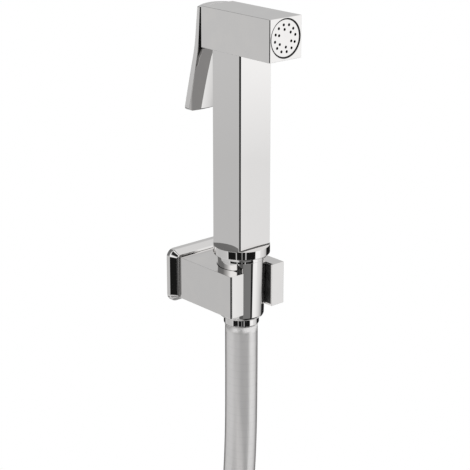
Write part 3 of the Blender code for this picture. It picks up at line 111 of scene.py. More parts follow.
# Lever
PIVOT_Y, PIVOT_Z = HEAD_BACK_Y - 0.0030, HEAD_TOP_Z - 0.0041
POCKET_ROOM, POCKET_EDGE = 0.0010, 0.0002
LUG_R, LUG_WIDTH, PIN_R, PIN_HOLE_R, PIN_HOLE_LENGTH = 0.0026, 0.0076, 0.0010, 0.00115, 0.0174
LEVER_TOP_Z = HEAD_TOP_Z + 0.0001
LEVER_FOOT_Z = HEAD_FOOT_Z - 0.0344
BEND_Z, BEND_REACH = HEAD_FOOT_Z - 0.0002, 0.0060
UPPER_SLOPE, LOWER_SLOPE = tan(radians(4.0)), tan(radians(13.2))
LEVER_CLEARANCE, LEVER_NEARER = 0.0006, 0.0004
LEVER_THICKNESS, LEVER_THICKER = 0.0021, 0.0016
LEVER_ARCH, LEVER_CROWN, LEVER_INNER_CROWN, LEVER_BELLY = 0.0008, 0.0020, 0.0006, 0.0008
LEVER_CORNER, LEVER_EDGE, LEVER_LUG_SINK = 0.0022, 0.0003, 0.0010

# Hose, its coil and its inlet end
HOSE_R = 0.0085
HOSE_TOP_Z = NUT_FOOT_Z - FERRULE_SHOW - GAP
HOSE_DROPS = ((0.0, 0.0560), (0.0, 0.0750), (-0.0002, 0.1000), (-0.0008, 0.1180), (-0.0016, 0.1330))
COIL_X, COIL_Z, COIL_R, COIL_STEP = -0.0870, GRIP_FOOT_Z - 0.1960, 0.0840, 0.0172
COIL_DEPTH = 2 * COIL_STEP + 2 * HOSE_R
COIL_RUN_IN, COIL_RUN_OUT, COIL_LEVEL_SHARE = 0.0300, 0.0280, 0.2
ENTRY_X, EXIT_Y = -0.0030, AXIS_Y - 2 * COIL_STEP
TAIL_END_Z = COIL_Z - 0.0560
TIE_HALF_HEIGHT, TIE_WALL, TIE_EDGE = 0.0045, 0.0012, 0.0003
TIE_GROOVES, TIE_GROOVE_PITCH, TIE_GROOVE = 5, 0.0016, 0.0003
SLEEVE_TOP_Z = TAIL_END_Z - GAP
SLEEVE_FOOT_Z = SLEEVE_TOP_Z - 0.0160
CRIMP_HALF, CRIMP_FLOOR_HALF, CRIMP_DEPTH = 0.0011, 0.0006, 0.0003
INLET_NUT_TOP_Z = SLEEVE_FOOT_Z - GAP
INLET_NUT_FOOT_Z = INLET_NUT_TOP_Z - 0.0150
INLET_FLATS, INLET_BLANK, INLET_NUT_FLOOR, INLET_NUT_EDGE = 0.0240, 0.0156, 0.0027, 0.00025
INLET_CORNER_WIDTH, INLET_CORNER_DROP = 0.0024, 0.0012
THREAD_TURNS, THREAD_PITCH, THREAD_DEPTH, THREAD_LEAD = 8, 0.0012, 0.0004, 0.0008

# Camera, with its tilt down and its turn in degrees
CAMERA_LENS, CAMERA_PLACE = 116.27, (-0.4849, -0.5819, 0.2750)
CAMERA_TILT, CAMERA_TURN = 18.79, -41.25


# Mesh tools


def new_object(name, bm):
    mesh = bpy.data.meshes.new(name)
    bm.to_mesh(mesh)
    bm.free()
    obj = bpy.data.objects.new(name, mesh)
    SCENE.collection.objects.link(obj)
    return obj


def box(low, high):
    bm = bmesh.new()
    bmesh.ops.create_cube(bm, size=1)
    bmesh.ops.scale(bm, vec=high - low, verts=bm.verts)
    bmesh.ops.translate(bm, vec=(low + high) / 2, verts=bm.verts)
    return bm


def round_edges(bm, edges, width, segments, clamp=False):
    bmesh.ops.bevel(bm, geom=edges, offset=width, segments=segments, profile=0.5, affect="EDGES",
                    clamp_overlap=clamp)


def block(name, low, high, edge=0.0):
    """A box between two corners, with all its edges rounded by edge."""
    bm = box(Vector(low), Vector(high))
    if edge:
        round_edges(bm, bm.edges[:], edge, 2)
    return new_object(name, bm)


def cast_block(name, low, high, edge, front_left):
    """A box with crisp edges and a softer upright edge at its front left."""
    low, high = Vector(low), Vector(high)
    bm = box(low, high)
    soft = [e for e in bm.edges
            if all(abs(v.co.x - low.x) + abs(v.co.y - low.y) < 1e-7 for v in e.verts)]
    round_edges(bm, soft, front_left, 8)
    round_edges(bm, [e for e in bm.edges if e.calc_face_angle(0) > radians(60)], edge, 3)
    return new_object(name, bm)


def turned(name, outline, origin=(0, 0, 0), direction=UP, closed=True, steps=128):
    """A turned shape from (radius, height) points down its outer side and up its inner one."""
    turn = direction.to_track_quat("Z", "Y").to_matrix()
    origin = Vector(origin)
    bm = bmesh.new()
    rings = []
    for radius, height in outline:
        ring = []
        for step in range(steps if radius > 1e-7 else 1):
            angle = 2 * pi * step / steps
            spot = Vector((radius * cos(angle), radius * sin(angle), height))
            ring.append(bm.verts.new(origin + turn @ spot))
        rings.append(ring)
    pairs = list(zip(rings, rings[1:]))
    if closed:
        pairs.append((rings[-1], rings[0]))
    for a, b in pairs:
        for i in range(steps):
            j = (i + 1) % steps
            corners = (a[i % len(a)], a[j % len(a)], b[j % len(b)], b[i % len(b)])
            corners = list(dict.fromkeys(corners))
            if len(corners) > 2:
                bm.faces.new(corners)
    bmesh.ops.recalc_face_normals(bm, faces=bm.faces)
    return new_object(name, bm)


def rod(name, radius, start, direction, length, end_radius=None, steps=64):
    outline = [(0, 0), (radius, 0), (end_radius or radius, length), (0, length)]
    return turned(name, outline, start, direction, closed=False, steps=steps)


def bridge(bm, low, high):
    """Faces between two rings with the same number of corners."""
    for i in range(len(low)):
        j = (i + 1) % len(low)
        bm.faces.new((low[i], low[j], high[j], high[i]))


def lofted(name, low_outline, high_outline, low_z, high_z):
    """A solid between two flat outlines with the same number of points."""
    bm = bmesh.new()
    low = [bm.verts.new((x, y, low_z)) for x, y in low_outline]
    high = [bm.verts.new((x, y, high_z)) for x, y in high_outline]
    bridge(bm, low, high)
    bm.faces.new(low[::-1])
    bm.faces.new(high)
    bmesh.ops.recalc_face_normals(bm, faces=bm.faces)
    return new_object(name, bm)


def prism(name, outlines, start, end, across):
    """Flat outlines, holes among them, extruded from start to end along X or Z."""
    curve = bpy.data.curves.new(name, "CURVE")
    curve.dimensions = "2D"
    curve.fill_mode = "BOTH"
    curve.extrude = abs(end - start) / 2
    for outline in outlines:
        spline = curve.splines.new("POLY")
        spline.points.add(len(outline) - 1)
        for point, (u, v) in zip(spline.points, outline):
            point.co = (u, v, 0, 1)
        spline.use_cyclic_u = True
    source = bpy.data.objects.new(name, curve)
    SCENE.collection.objects.link(source)
    graph = bpy.context.evaluated_depsgraph_get()
    mesh = bpy.data.meshes.new_from_object(source.evaluated_get(graph))
    bpy.data.objects.remove(source, do_unlink=True)
    bm = bmesh.new()
    bm.from_mesh(mesh)
    bmesh.ops.remove_doubles(bm, verts=bm.verts, dist=0.000001)
    middle = (start + end) / 2
    frames = {
        "X": Matrix(((0, 0, 1, middle), (1, 0, 0, 0), (0, 1, 0, 0), (0, 0, 0, 1))),
        "Z": Matrix.Translation((0, 0, middle)),
    }
    bmesh.ops.transform(bm, matrix=frames[across], verts=bm.verts)
    return new_object(name, bm)


def boolean(target, other, operation):
    step = target.modifiers.new("solid", "BOOLEAN")
    step.operation = operation
    step.object = other
    other.hide_render = True
    target["tools"] = [*target.get("tools", []), other.name]


def cut(target, cutter):
    boolean(target, cutter, "DIFFERENCE")


def join(target, other):
    boolean(target, other, "UNION")


def settle(obj):
    """Apply every modifier and remove the shapes that only cut or joined."""
    graph = bpy.context.evaluated_depsgraph_get()
    mesh = bpy.data.meshes.new_from_object(obj.evaluated_get(graph))
    tools = list(obj.get("tools", []))
    obj.modifiers.clear()
    old = obj.data
    obj.data = mesh
    bpy.data.meshes.remove(old)
    for name in tools:
        bpy.data.objects.remove(bpy.data.objects[name], do_unlink=True)
    if "tools" in obj:
        del obj["tools"]


def soften(obj, width, segments, angle=40):
    step = obj.modifiers.new("edges", "BEVEL")
    step.width = width
    step.segments = segments
    step.limit_method = "ANGLE"
    step.angle_limit = radians(angle)
    step.use_clamp_overlap = True
    step.miter_outer = "MITER_ARC"


def finish(obj, material, body, node, sharp=32):
    """Clean normals, a material, and the piece's place in the frame."""
    settle(obj)
    obj.data.materials.clear()
    obj.data.materials.append(material)
    obj.data.shade_smooth()
    obj.data.set_sharp_from_angle(angle=radians(sharp))
    weigh = obj.modifiers.new("normals", "WEIGHTED_NORMAL")
    weigh.mode = "FACE_AREA"
    weigh.weight = 100
    weigh.keep_sharp = True
    settle(obj)
    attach(obj, body)
    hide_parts(node)


def rounded_rectangle(width, height, corner, centre=(0, 0), steps=16):
    points = []
    for quarter, (side_x, side_y) in enumerate(((1, 1), (-1, 1), (-1, -1), (1, -1))):
        middle = (centre[0] + side_x * (width / 2 - corner), centre[1] + side_y * (height / 2 - corner))
        points += arc(middle, corner, 90 * quarter, 90 * quarter + 90, steps)
    return points


def arc(centre, radius, first, last, steps=8):
    points = []
    for step in range(steps + 1):
        turn = radians(first + (last - first) * step / steps)
        points.append((centre[0] + radius * cos(turn), centre[1] + radius * sin(turn)))
    return points


# Materials


class Nodes:
    """Short names for building a material's node tree."""

    def __init__(self, tree):
        self.tree = tree

    def add(self, kind, inputs=None, **settings):
        node = self.tree.nodes.new(kind)
        for key, value in settings.items():
            setattr(node, key, value)
        for key, value in (inputs or {}).items():
            if hasattr(value, "is_output"):
                self.feed(node.inputs[key], value)
            else:
                node.inputs[key].default_value = value
        return node

    def feed(self, socket, value):
        self.tree.links.new(value, socket)

    def noise(self, scale, detail=3.0, rough=0.5):
        place = self.add("ShaderNodeTexCoord").outputs["Object"]
        made = self.add("ShaderNodeTexNoise", {
            "Vector": place, "Scale": scale, "Detail": detail, "Roughness": rough})
        return made.outputs["Fac"]

    def spread(self, value, low, high, to_low, to_high):
        made = self.add("ShaderNodeMapRange", {
            "Value": value, "From Min": low, "From Max": high, "To Min": to_low, "To Max": to_high})
        return made.outputs["Result"]

    def math(self, operation, a, b=0.0, c=0.0):
        return self.add("ShaderNodeMath", {0: a, 1: b, 2: c}, operation=operation).outputs[0]

    def above(self, value, limit):
        return self.math("GREATER_THAN", value, limit)

    def below(self, value, limit):
        return self.math("LESS_THAN", value, limit)

    def both(self, a, b):
        return self.math("MULTIPLY", a, b)

    def either(self, a, b):
        return self.math("MAXIMUM", a, b)

    def distance(self, a, b):
        return self.math("SQRT", self.math("ADD", self.both(a, a), self.both(b, b)))

    def worn_edges(self, low, high):
        """1 on sharp edges, 0 on flat faces."""
        pointy = self.add("ShaderNodeNewGeometry").outputs["Pointiness"]
        return self.spread(pointy, low, high, 0.0, 1.0)

    def tint(self, share, first, second):
        made = self.add("ShaderNodeMix", {0: share, 6: first, 7: second}, data_type="RGBA")
        return made.outputs[2]

    def bump(self, height, distance, strength=1.0, under=None):
        made = self.add("ShaderNodeBump", {
            "Height": height, "Strength": strength, "Distance": distance})
        if under:
            self.feed(made.inputs["Normal"], under)
        return made.outputs["Normal"]

    def ramp(self, value, stops):
        made = self.add("ShaderNodeValToRGB", {"Fac": value})
        band = made.color_ramp
        while len(band.elements) < len(stops):
            band.elements.new(0.5)
        for element, (place, grey) in zip(band.elements, stops):
            element.position = place
            element.color = (grey, grey, grey, 1)
        return made.outputs["Color"]


def new_material(name, colour, metallic, roughness):
    material = bpy.data.materials.new(name)
    material.use_nodes = True
    shader = material.node_tree.nodes["Principled BSDF"]
    shader.inputs["Base Color"].default_value = (*colour, 1)
    shader.inputs["Metallic"].default_value = metallic
    shader.inputs["Roughness"].default_value = roughness
    material.diffuse_color = (*colour, 1)
    return material, shader.inputs, Nodes(material.node_tree)


def metal(name, colour, worn, low, high, scale, relief, relief_scale=900.0, relief_detail=2.0):
    """A plated or machined metal: uneven gloss, fine relief, and edges worn to another tone."""
    material, inputs, n = new_material(name, colour, 1.0, (low + high) / 2)
    patches = n.noise(scale, 4.0, 0.6)
    mixed = n.math("MULTIPLY_ADD", n.noise(scale * 7, 2.0, 0.5), 0.35, patches)
    n.feed(inputs["Roughness"], n.spread(mixed, 0.45, 0.95, low, high))
    edge = n.both(n.worn_edges(0.515, 0.56), n.spread(n.noise(scale * 3), 0.45, 0.7, 0.0, 0.6))
    n.feed(inputs["Base Color"], n.tint(edge, (*colour, 1), (*worn, 1)))
    n.feed(inputs["Normal"], n.bump(n.noise(relief_scale, relief_detail), relief))
    return material


def chrome(name):
    return metal(name, (0.875, 0.863, 0.855), (0.93, 0.91, 0.89), 0.012, 0.035, 38.0, 0.000008, 57.0, 1.0)


def painted_shade(material, shade_mask):
    """Painted shade: dull black where the mask function, called with (nodes, x, y, z), gives 1, on bores,
    hollows, gaps and a crease that lie in shade.
    """
    n = Nodes(material.node_tree)
    inputs = n.tree.nodes["Principled BSDF"].inputs
    place = n.add("ShaderNodeTexCoord").outputs["Object"]
    mask = shade_mask(n, *n.add("ShaderNodeSeparateXYZ", {"Vector": place}).outputs)
    colour = inputs["Base Color"].links[0].from_socket
    gloss = inputs["Roughness"].links[0].from_socket
    rough = n.add("ShaderNodeMix", {0: mask, 2: gloss, 3: 0.75})
    # near-black colour painted where the mask is 1, standing in for shade
    n.feed(inputs["Base Color"], n.tint(mask, colour, (0.006, 0.006, 0.006, 1)))
    n.feed(inputs["Roughness"], rough.outputs[0])
    n.feed(inputs["Metallic"], n.math("SUBTRACT", 1.0, mask))
    n.feed(inputs["Specular IOR Level"], n.spread(mask, 0.0, 1.0, 0.5, 0.1))
    return material


def moulded(name, colour, pale, low, high, grain, grain_scale):
    """Moulded plastic or rubber: fine grain, uneven sheen and paler rubbed edges."""
    material, inputs, n = new_material(name, colour, 0.0, (low + high) / 2)
    n.feed(inputs["Roughness"], n.spread(n.noise(60.0, 4.0), 0.35, 0.7, low, high))
    rub = n.both(n.worn_edges(0.52, 0.6), n.spread(n.noise(240.0), 0.4, 0.7, 0.1, 0.8))
    n.feed(inputs["Base Color"], n.tint(rub, (*colour, 1), (*pale, 1)))
    n.feed(inputs["Normal"], n.bump(n.noise(grain_scale, 3.0), grain))
    return material


def hose_skin():
    """Satin silver hose: a fine spiral and thread under a clear skin, with painted shade darkening its rim
    where it turns away from view.
    """
    pale, line_tone, rim_shade_tone = (0.79, 0.78, 0.775), (0.76, 0.75, 0.745), (0.22, 0.215, 0.21)
    spiral_pitch, thread_pitch, relief = 0.0042, 0.0011, 0.00002
    material, inputs, n = new_material("silver_hose_skin", pale, 0.62, 0.34)
    uv = n.add("ShaderNodeUVMap").outputs["UV"]
    along, around, _ = n.add("ShaderNodeSeparateXYZ", {"Vector": uv}).outputs
    spiral = n.math("FRACT", n.math("ADD", n.math("DIVIDE", along, spiral_pitch), around))
    line = n.spread(n.math("PINGPONG", spiral, 0.5), 0.02, 0.10, 0.0, 1.0)
    weave = n.math("SUBTRACT", n.math("DIVIDE", along, thread_pitch), n.both(around, 3.0))
    thread = n.math("PINGPONG", n.math("FRACT", weave), 0.5)
    share = n.both(line, n.spread(n.noise(45.0, 4.0), 0.3, 0.7, 0.82, 1.0))
    tone = n.tint(share, (*line_tone, 1), (*pale, 1))
    # painted shade: the colour darkens towards the rim as the surface turns away from view
    turned_away = n.add("ShaderNodeLayerWeight", {"Blend": 0.5}).outputs["Facing"]
    rim = n.spread(turned_away, 0.55, 0.95, 0.0, 1.0)
    n.feed(inputs["Base Color"], n.tint(rim, tone, (*rim_shade_tone, 1)))
    n.feed(inputs["Roughness"], n.spread(n.noise(160.0, 3.0), 0.3, 0.7, 0.30, 0.38))
    inputs["Coat Weight"].default_value = 0.1
    inputs["Coat Roughness"].default_value = 0.22
    n.feed(inputs["Normal"], n.bump(thread, relief, 0.12, under=n.bump(line, relief, 0.15)))
    return material


# Sizes of the painted shade on the chrome
SHADE_INSET = 0.00004  # how far in from a front face the painted shade starts
TOP_STRIP, SIDE_STRIP = 0.0008, 0.0003  # strips kept free of painted shade below the head's top and at the sides
CHAMBER_REACH = 0.0008  # past the disc's radius
CREASE_LOW, CREASE_HIGH, CREASE_DEPTH = 0.00003, 0.00045, 0.00006  # painted shadow line at the grip's front foot
LEVER_DARK_DROP, LEVER_DARK_DEPTH = 0.0015, 0.0016  # painted shade on the lever's inner face: below the head's foot, and into the lever


def from_nozzle_axis(n, x, z):
    return n.distance(x, n.math("SUBTRACT", z, NOZZLE_Z))


def disc_hole_shade(n, x, y, z):
    """Painted shade in the holes: everything behind the disc's front face, its rim left out."""
    deep = n.above(y, HEAD_FRONT_Y + SPRAY_RECESS + SHADE_INSET)
    return n.both(deep, n.below(from_nozzle_axis(n, x, z), SPRAY_R - SIDE_STRIP))


def shell_painted_shade(n, x, y, z):
    """Painted shade in the nozzle chamber, on the head's back and in the lever's pocket, and a painted
    shadow line at the grip's front foot.
    """
    deep = n.above(y, HEAD_FRONT_Y + SHADE_INSET)
    chamber = n.both(deep, n.below(from_nozzle_axis(n, x, z), SPRAY_R + CHAMBER_REACH))
    behind = n.both(n.above(y, HEAD_BACK_Y - 2 * SHADE_INSET), n.below(z, HEAD_TOP_Z - TOP_STRIP))
    pocket = n.both(n.above(y, PIVOT_Y - LUG_R - 2 * GAP),
                    n.below(n.math("ABSOLUTE", x), LUG_WIDTH / 2 + 2 * GAP))
    back = n.either(behind, n.both(pocket, n.below(z, HEAD_TOP_Z - SHADE_INSET)))
    # painted shadow line in the crease where the grip's front face meets the collar's cone
    off_axis = n.math("SUBTRACT", y, AXIS_Y)
    tilted = n.math("ADD", z, n.both(n.distance(x, off_axis), CONE_SLOPE))
    rise = n.math("SUBTRACT", tilted, GRIP_FOOT_Z + CONE_SLOPE * COLLAR_R)
    crease = n.both(n.above(rise, CREASE_LOW), n.below(rise, CREASE_HIGH))
    on_front = n.below(off_axis, CREASE_DEPTH - GRIP_SIDE / 2)
    return n.either(n.either(chamber, back), n.both(crease, on_front))


def lever_gap_shade(n, x, y, z):
    """Painted shade on the part of the lever's inner face that lies behind the head."""
    inner = n.below(n.math("ABSOLUTE", x), HEAD_WIDTH / 2 - SIDE_STRIP)
    high = n.both(n.above(z, HEAD_FOOT_Z - LEVER_DARK_DROP), n.below(z, HEAD_TOP_Z - TOP_STRIP))
    front = n.below(n.math("ADD", y, n.both(z, UPPER_SLOPE)),
                    HEAD_BACK_Y + LEVER_DARK_DEPTH + UPPER_SLOPE * LEVER_TOP_Z)
    return n.both(n.both(inner, high), front)


CHROME = chrome("chrome")
# Chrome copies with painted shade from the masks above
LEVER_CHROME = painted_shade(chrome("lever_chrome"), lever_gap_shade)
DISC_CHROME = painted_shade(chrome("disc_chrome"), disc_hole_shade)
SHELL_CHROME = painted_shade(chrome("shell_chrome"), shell_painted_shade)
BRASS = metal("brass", (0.78, 0.60, 0.32), (0.90, 0.74, 0.44), 0.22, 0.36, 90.0, 0.00001)
STEEL = metal("stainless_steel", (0.58, 0.58, 0.59), (0.72, 0.72, 0.72), 0.22, 0.34, 120.0, 0.00001)
ZINC = metal("zinc_plated_steel", (0.55, 0.56, 0.58), (0.70, 0.70, 0.70), 0.34, 0.50, 70.0, 0.00002)
RUBBER = moulded("black_rubber", (0.018, 0.018, 0.018), (0.06, 0.06, 0.06), 0.60, 0.80, 0.00002, 1400.0)
PLASTIC = moulded("black_plastic", (0.012, 0.012, 0.012), (0.05, 0.05, 0.05), 0.32, 0.52, 0.000015, 1100.0)
SKIN = hose_skin()
FINISHES = {"chrome": CHROME, "brass": BRASS, "stainless_steel": STEEL, "zinc_plated_steel": ZINC,
            "black_rubber": RUBBER, "black_plastic": PLASTIC, "silver_hose_skin": SKIN}


# Hose


def smooth_route(route, spacing):
    """Points about spacing apart on a smooth curve through the route's own points."""
    points = []
    padded = [route[0] * 2 - route[1], *route, route[-1] * 2 - route[-2]]
    for a, b, c, d in zip(padded, padded[1:], padded[2:], padded[3:]):
        steps = max(1, round((c - b).length / spacing))
        for step in range(steps):
            t = step / steps
            points.append(
                (b * 2 + (c - a) * t + (a * 2 - b * 5 + c * 4 - d) * t**2
                 + (b * 3 - a - c * 3 + d) * t**3) / 2
            )
    return [*points, route[-1]]


def ease(t):
    t = min(max(t, 0), 1)
    return t * t * t * (t * (6 * t - 15) + 10)


def hose_points():
    """Down from the sleeve, two turns of the coil, and down to the inlet's sleeve."""
    route = [Vector((0, AXIS_Y, HOSE_TOP_Z))]
    route += [Vector((x, AXIS_Y, GRIP_FOOT_Z - below)) for x, below in HOSE_DROPS]
    route.append(Vector((ENTRY_X, AXIS_Y, COIL_Z + COIL_RUN_IN)))
    per_turn = 24
    for step in range(2 * per_turn + 1):
        turn = step / per_turn
        whole = min(int(turn), 1)
        along = whole + ease((turn - whole - COIL_LEVEL_SHARE) / (1 - 2 * COIL_LEVEL_SHARE))
        angle = 2 * pi * turn
        route.append(Vector((COIL_X + COIL_R * cos(angle), AXIS_Y - COIL_STEP * along,
                             COIL_Z - COIL_R * sin(angle))))
    route += [Vector((ENTRY_X, EXIT_Y, z)) for z in (COIL_Z - COIL_RUN_OUT, TAIL_END_Z)]
    return smooth_route(route, 0.004)


def tube(name, points, radius, sides=48):
    """A mesh tube and its length, with its own UVs: u along it in metres, v around it."""
    bm = bmesh.new()
    layer = bm.loops.layers.uv.new("UVMap")
    rings = []
    lengths = [0.0]
    for a, b in zip(points, points[1:]):
        lengths.append(lengths[-1] + (b - a).length)
    normal = FRONT
    for number, point in enumerate(points):
        ahead = points[min(number + 1, len(points) - 1)]
        behind = points[max(number - 1, 0)]
        along = (ahead - behind).normalized()
        normal = (normal - along * normal.dot(along)).normalized()
        side = along.cross(normal)
        ring = []
        for i in range(sides):
            turn = 2 * pi * i / sides
            ring.append(bm.verts.new(point + (normal * cos(turn) + side * sin(turn)) * radius))
        rings.append(ring)
    for number, (a, b) in enumerate(zip(rings, rings[1:])):
        for i in range(sides):
            j = (i + 1) % sides
            face = bm.faces.new((a[i], a[j], b[j], b[i]))
            face.smooth = True
            corners = ((number, i), (number, i + 1), (number + 1, i + 1), (number + 1, i))
            for loop, (row, column) in zip(face.loops, corners):
                loop[layer].uv = (lengths[row], column / sides)
    bm.faces.new(rings[0][::-1])
    bm.faces.new(rings[-1])
    bmesh.ops.recalc_face_normals(bm, faces=bm.faces)
    return new_object(name, bm), lengths[-1]


def hose_tie():
    """Moulded strap round the coil, with grooves across its outer faces."""
    centre = (COIL_X - COIL_R, AXIS_Y + HOSE_R - COIL_DEPTH / 2)
    inner_x, inner_y = 2 * HOSE_R + 2 * GAP, COIL_DEPTH + 2 * GAP

    def ring(wider, corner):
        return rounded_rectangle(inner_x + wider, inner_y + wider, corner, centre)

    outer, outer_corner = 2 * TIE_WALL, HOSE_R / 2 + TIE_WALL
    strap = prism("coil_strap", [ring(outer, outer_corner), ring(0, HOSE_R / 4)],
                  COIL_Z - TIE_HALF_HEIGHT, COIL_Z + TIE_HALF_HEIGHT, "Z")
    soften(strap, TIE_EDGE, 2)
    settle(strap)
    for number in range(TIE_GROOVES):
        z = COIL_Z + (number - TIE_GROOVES // 2) * TIE_GROOVE_PITCH
        shapes = [ring(outer + GAP, outer_corner), ring(outer - TIE_GROOVE, outer_corner)]
        cut(strap, prism("groove", shapes, z - TIE_GROOVE, z + TIE_GROOVE, "Z"))
    finish(strap, PLASTIC, "set", "hose_tie")


def inlet_sleeve():
    """Crimped sleeve with three pressed rings and rounded ends."""
    top, foot = SLEEVE_TOP_Z, SLEEVE_FOOT_Z
    ends = ((FERRULE_TOP_EDGE, 0), (FERRULE_TOP_EDGE / 3, FERRULE_TOP_EDGE / 3), (0, FERRULE_TOP_EDGE))
    outline = [(FERRULE_R - inset, top - drop) for inset, drop in ends]
    for place in (0.25, 0.5, 0.75):
        z = top + (foot - top) * place
        floor = FERRULE_R - CRIMP_DEPTH
        outline += [(FERRULE_R, z + CRIMP_HALF), (floor, z + CRIMP_FLOOR_HALF),
                    (floor, z - CRIMP_FLOOR_HALF), (FERRULE_R, z - CRIMP_HALF)]
    outline += [(FERRULE_R - inset, foot + drop) for inset, drop in ends[::-1]]
    outline += [(FERRULE_BORE_R, foot), (FERRULE_BORE_R, top)]
    sleeve = turned("inlet_sleeve", outline, (ENTRY_X, EXIT_Y, 0), steps=96)
    finish(sleeve, CHROME, "set", "inlet_ferrule", sharp=60)


def swivel_nut():
    """Hexagon nut with chamfered corners and a thread in its bore."""
    top, foot = INLET_NUT_TOP_Z, INLET_NUT_FOOT_Z
    centre = (ENTRY_X, EXIT_Y, 0)
    corner_r = INLET_FLATS / sqrt(3)
    bm = bmesh.new()
    bmesh.ops.create_cone(bm, cap_ends=True, segments=6, radius1=corner_r, radius2=corner_r,
                          depth=INLET_BLANK)
    bmesh.ops.translate(bm, vec=(ENTRY_X, EXIT_Y, (top + foot) / 2), verts=bm.verts)
    nut = new_object("swivel_nut", bm)
    rim = INLET_FLATS / 2 - GAP
    wide = rim + INLET_CORNER_WIDTH
    shape = [(0, top), (rim, top), (wide, top - INLET_CORNER_DROP),
             (wide, foot + INLET_CORNER_DROP), (rim, foot), (0, foot)]
    boolean(nut, turned("trim", shape, centre, closed=False, steps=96), "INTERSECT")
    bore = SPIGOT_R + GAP
    thread = [(0, foot - GAP), (bore, foot - GAP), (bore, foot + THREAD_LEAD)]
    for number in range(THREAD_TURNS):
        z = foot + THREAD_PITCH + number * THREAD_PITCH
        thread += [(bore, z), (bore - THREAD_DEPTH, z + THREAD_PITCH / 2)]
    thread += [(bore, top - INLET_NUT_FLOOR), (0, top - INLET_NUT_FLOOR)]
    cut(nut, turned("thread", thread, centre, closed=False, steps=64))
    neck_foot = (ENTRY_X, EXIT_Y, top - INLET_NUT_FLOOR - GAP)
    cut(nut, rod("neck", NECK_R, neck_foot, UP, INLET_NUT_FLOOR + GAP + 0.0010))
    soften(nut, INLET_NUT_EDGE, 2, 28)
    finish(nut, CHROME, "inlet_nut", "inlet_nut")


# Bracket


def eased(before, corner, after, reach):
    """A rounded corner, from reach before it to reach after it, between two directions."""
    corner, before, after = Vector(corner), Vector(before).normalized(), Vector(after).normalized()
    points = []
    for step in range(7):
        t = step / 6
        points.append(tuple(corner - before * reach * (1 - t) ** 2 + after * reach * t**2))
    return points


def wall_plate():
    """Cover plate: rounded outline, bevelled rim with soft edges, and a hollow back."""
    slope = (PLATE_RIM_WIDTH, -PLATE_RIM_DEPTH)
    layers = [(0.0, 0.0)]
    layers += eased((0, -1), (0.0, PLATE_RIM_DEPTH - PLATE_DEPTH), slope, PLATE_RIM_EDGE)
    layers += eased(slope, (PLATE_RIM_WIDTH, -PLATE_DEPTH), (1, 0), PLATE_RIM_EDGE)
    bm = bmesh.new()

    def ring(inset, y):
        shape = rounded_rectangle(PLATE_WIDTH - 2 * inset, PLATE_HEIGHT - 2 * inset, PLATE_CORNER - inset,
                                  steps=20)
        return [bm.verts.new((x, y, z)) for x, z in shape]

    rings = [ring(inset, y) for inset, y in layers]
    back = ring(PLATE_WALL, 0)
    deep = ring(PLATE_WALL, -PLATE_DEPTH + PLATE_FRONT_WALL)
    for a, b in [*zip(rings, rings[1:]), (back, rings[0]), (deep, back)]:
        bridge(bm, a, b)
    bm.faces.new(rings[-1])
    bm.faces.new(deep[::-1])
    bmesh.ops.recalc_face_normals(bm, faces=bm.faces)
    plate = new_object("cover_plate", bm)
    for side in (-1, 1):
        place = (side * SCREW_X, -PLATE_DEPTH - GAP, CRADLE_MIDDLE_Z)
        cut(plate, rod("screw_hole", SCREW_HOLE_R, place, BACK, PLATE_FRONT_WALL + 2 * GAP))
    place = (0, GRUB_HOLE_Y, -PLATE_HEIGHT / 2 - GAP)
    cut(plate, rod("grub_hole", GRUB_HOLE_R, place, UP, PLATE_WALL + 2 * GAP))
    finish(plate, CHROME, "set", "wall_plate")


def nut_radius(z):
    share = (NUT_TOP_Z - z) / (NUT_LENGTH - NUT_ROUND)
    return NUT_TOP_R + share * (NUT_FOOT_R - NUT_TOP_R)


def cradle_rim_edges(bm):
    """The level edges round the cradle's outside, its wall side left out."""
    half, tiny = CRADLE_WIDTH / 2, 1e-6
    edges = []
    for edge in bm.edges:
        if len(edge.link_faces) != 2 or edge.calc_face_angle(0) <= radians(60):
            continue
        ends = [vert.co for vert in edge.verts]
        level = all(min(abs(p.z - CRADLE_TOP_Z), abs(p.z - CRADLE_FOOT_Z)) < tiny for p in ends)
        on_side = all(
            abs(p.x) > half - CRADLE_EDGE - tiny and p.y < CRADLE_FRONT_Y + CRADLE_EDGE + tiny
            or abs(abs(p.x) - half) < tiny
            for p in ends
        )
        on_front = all(abs(p.y - CRADLE_FRONT_Y) < tiny for p in ends)
        if level and (on_side or on_front):
            edges.append(edge)
    return edges


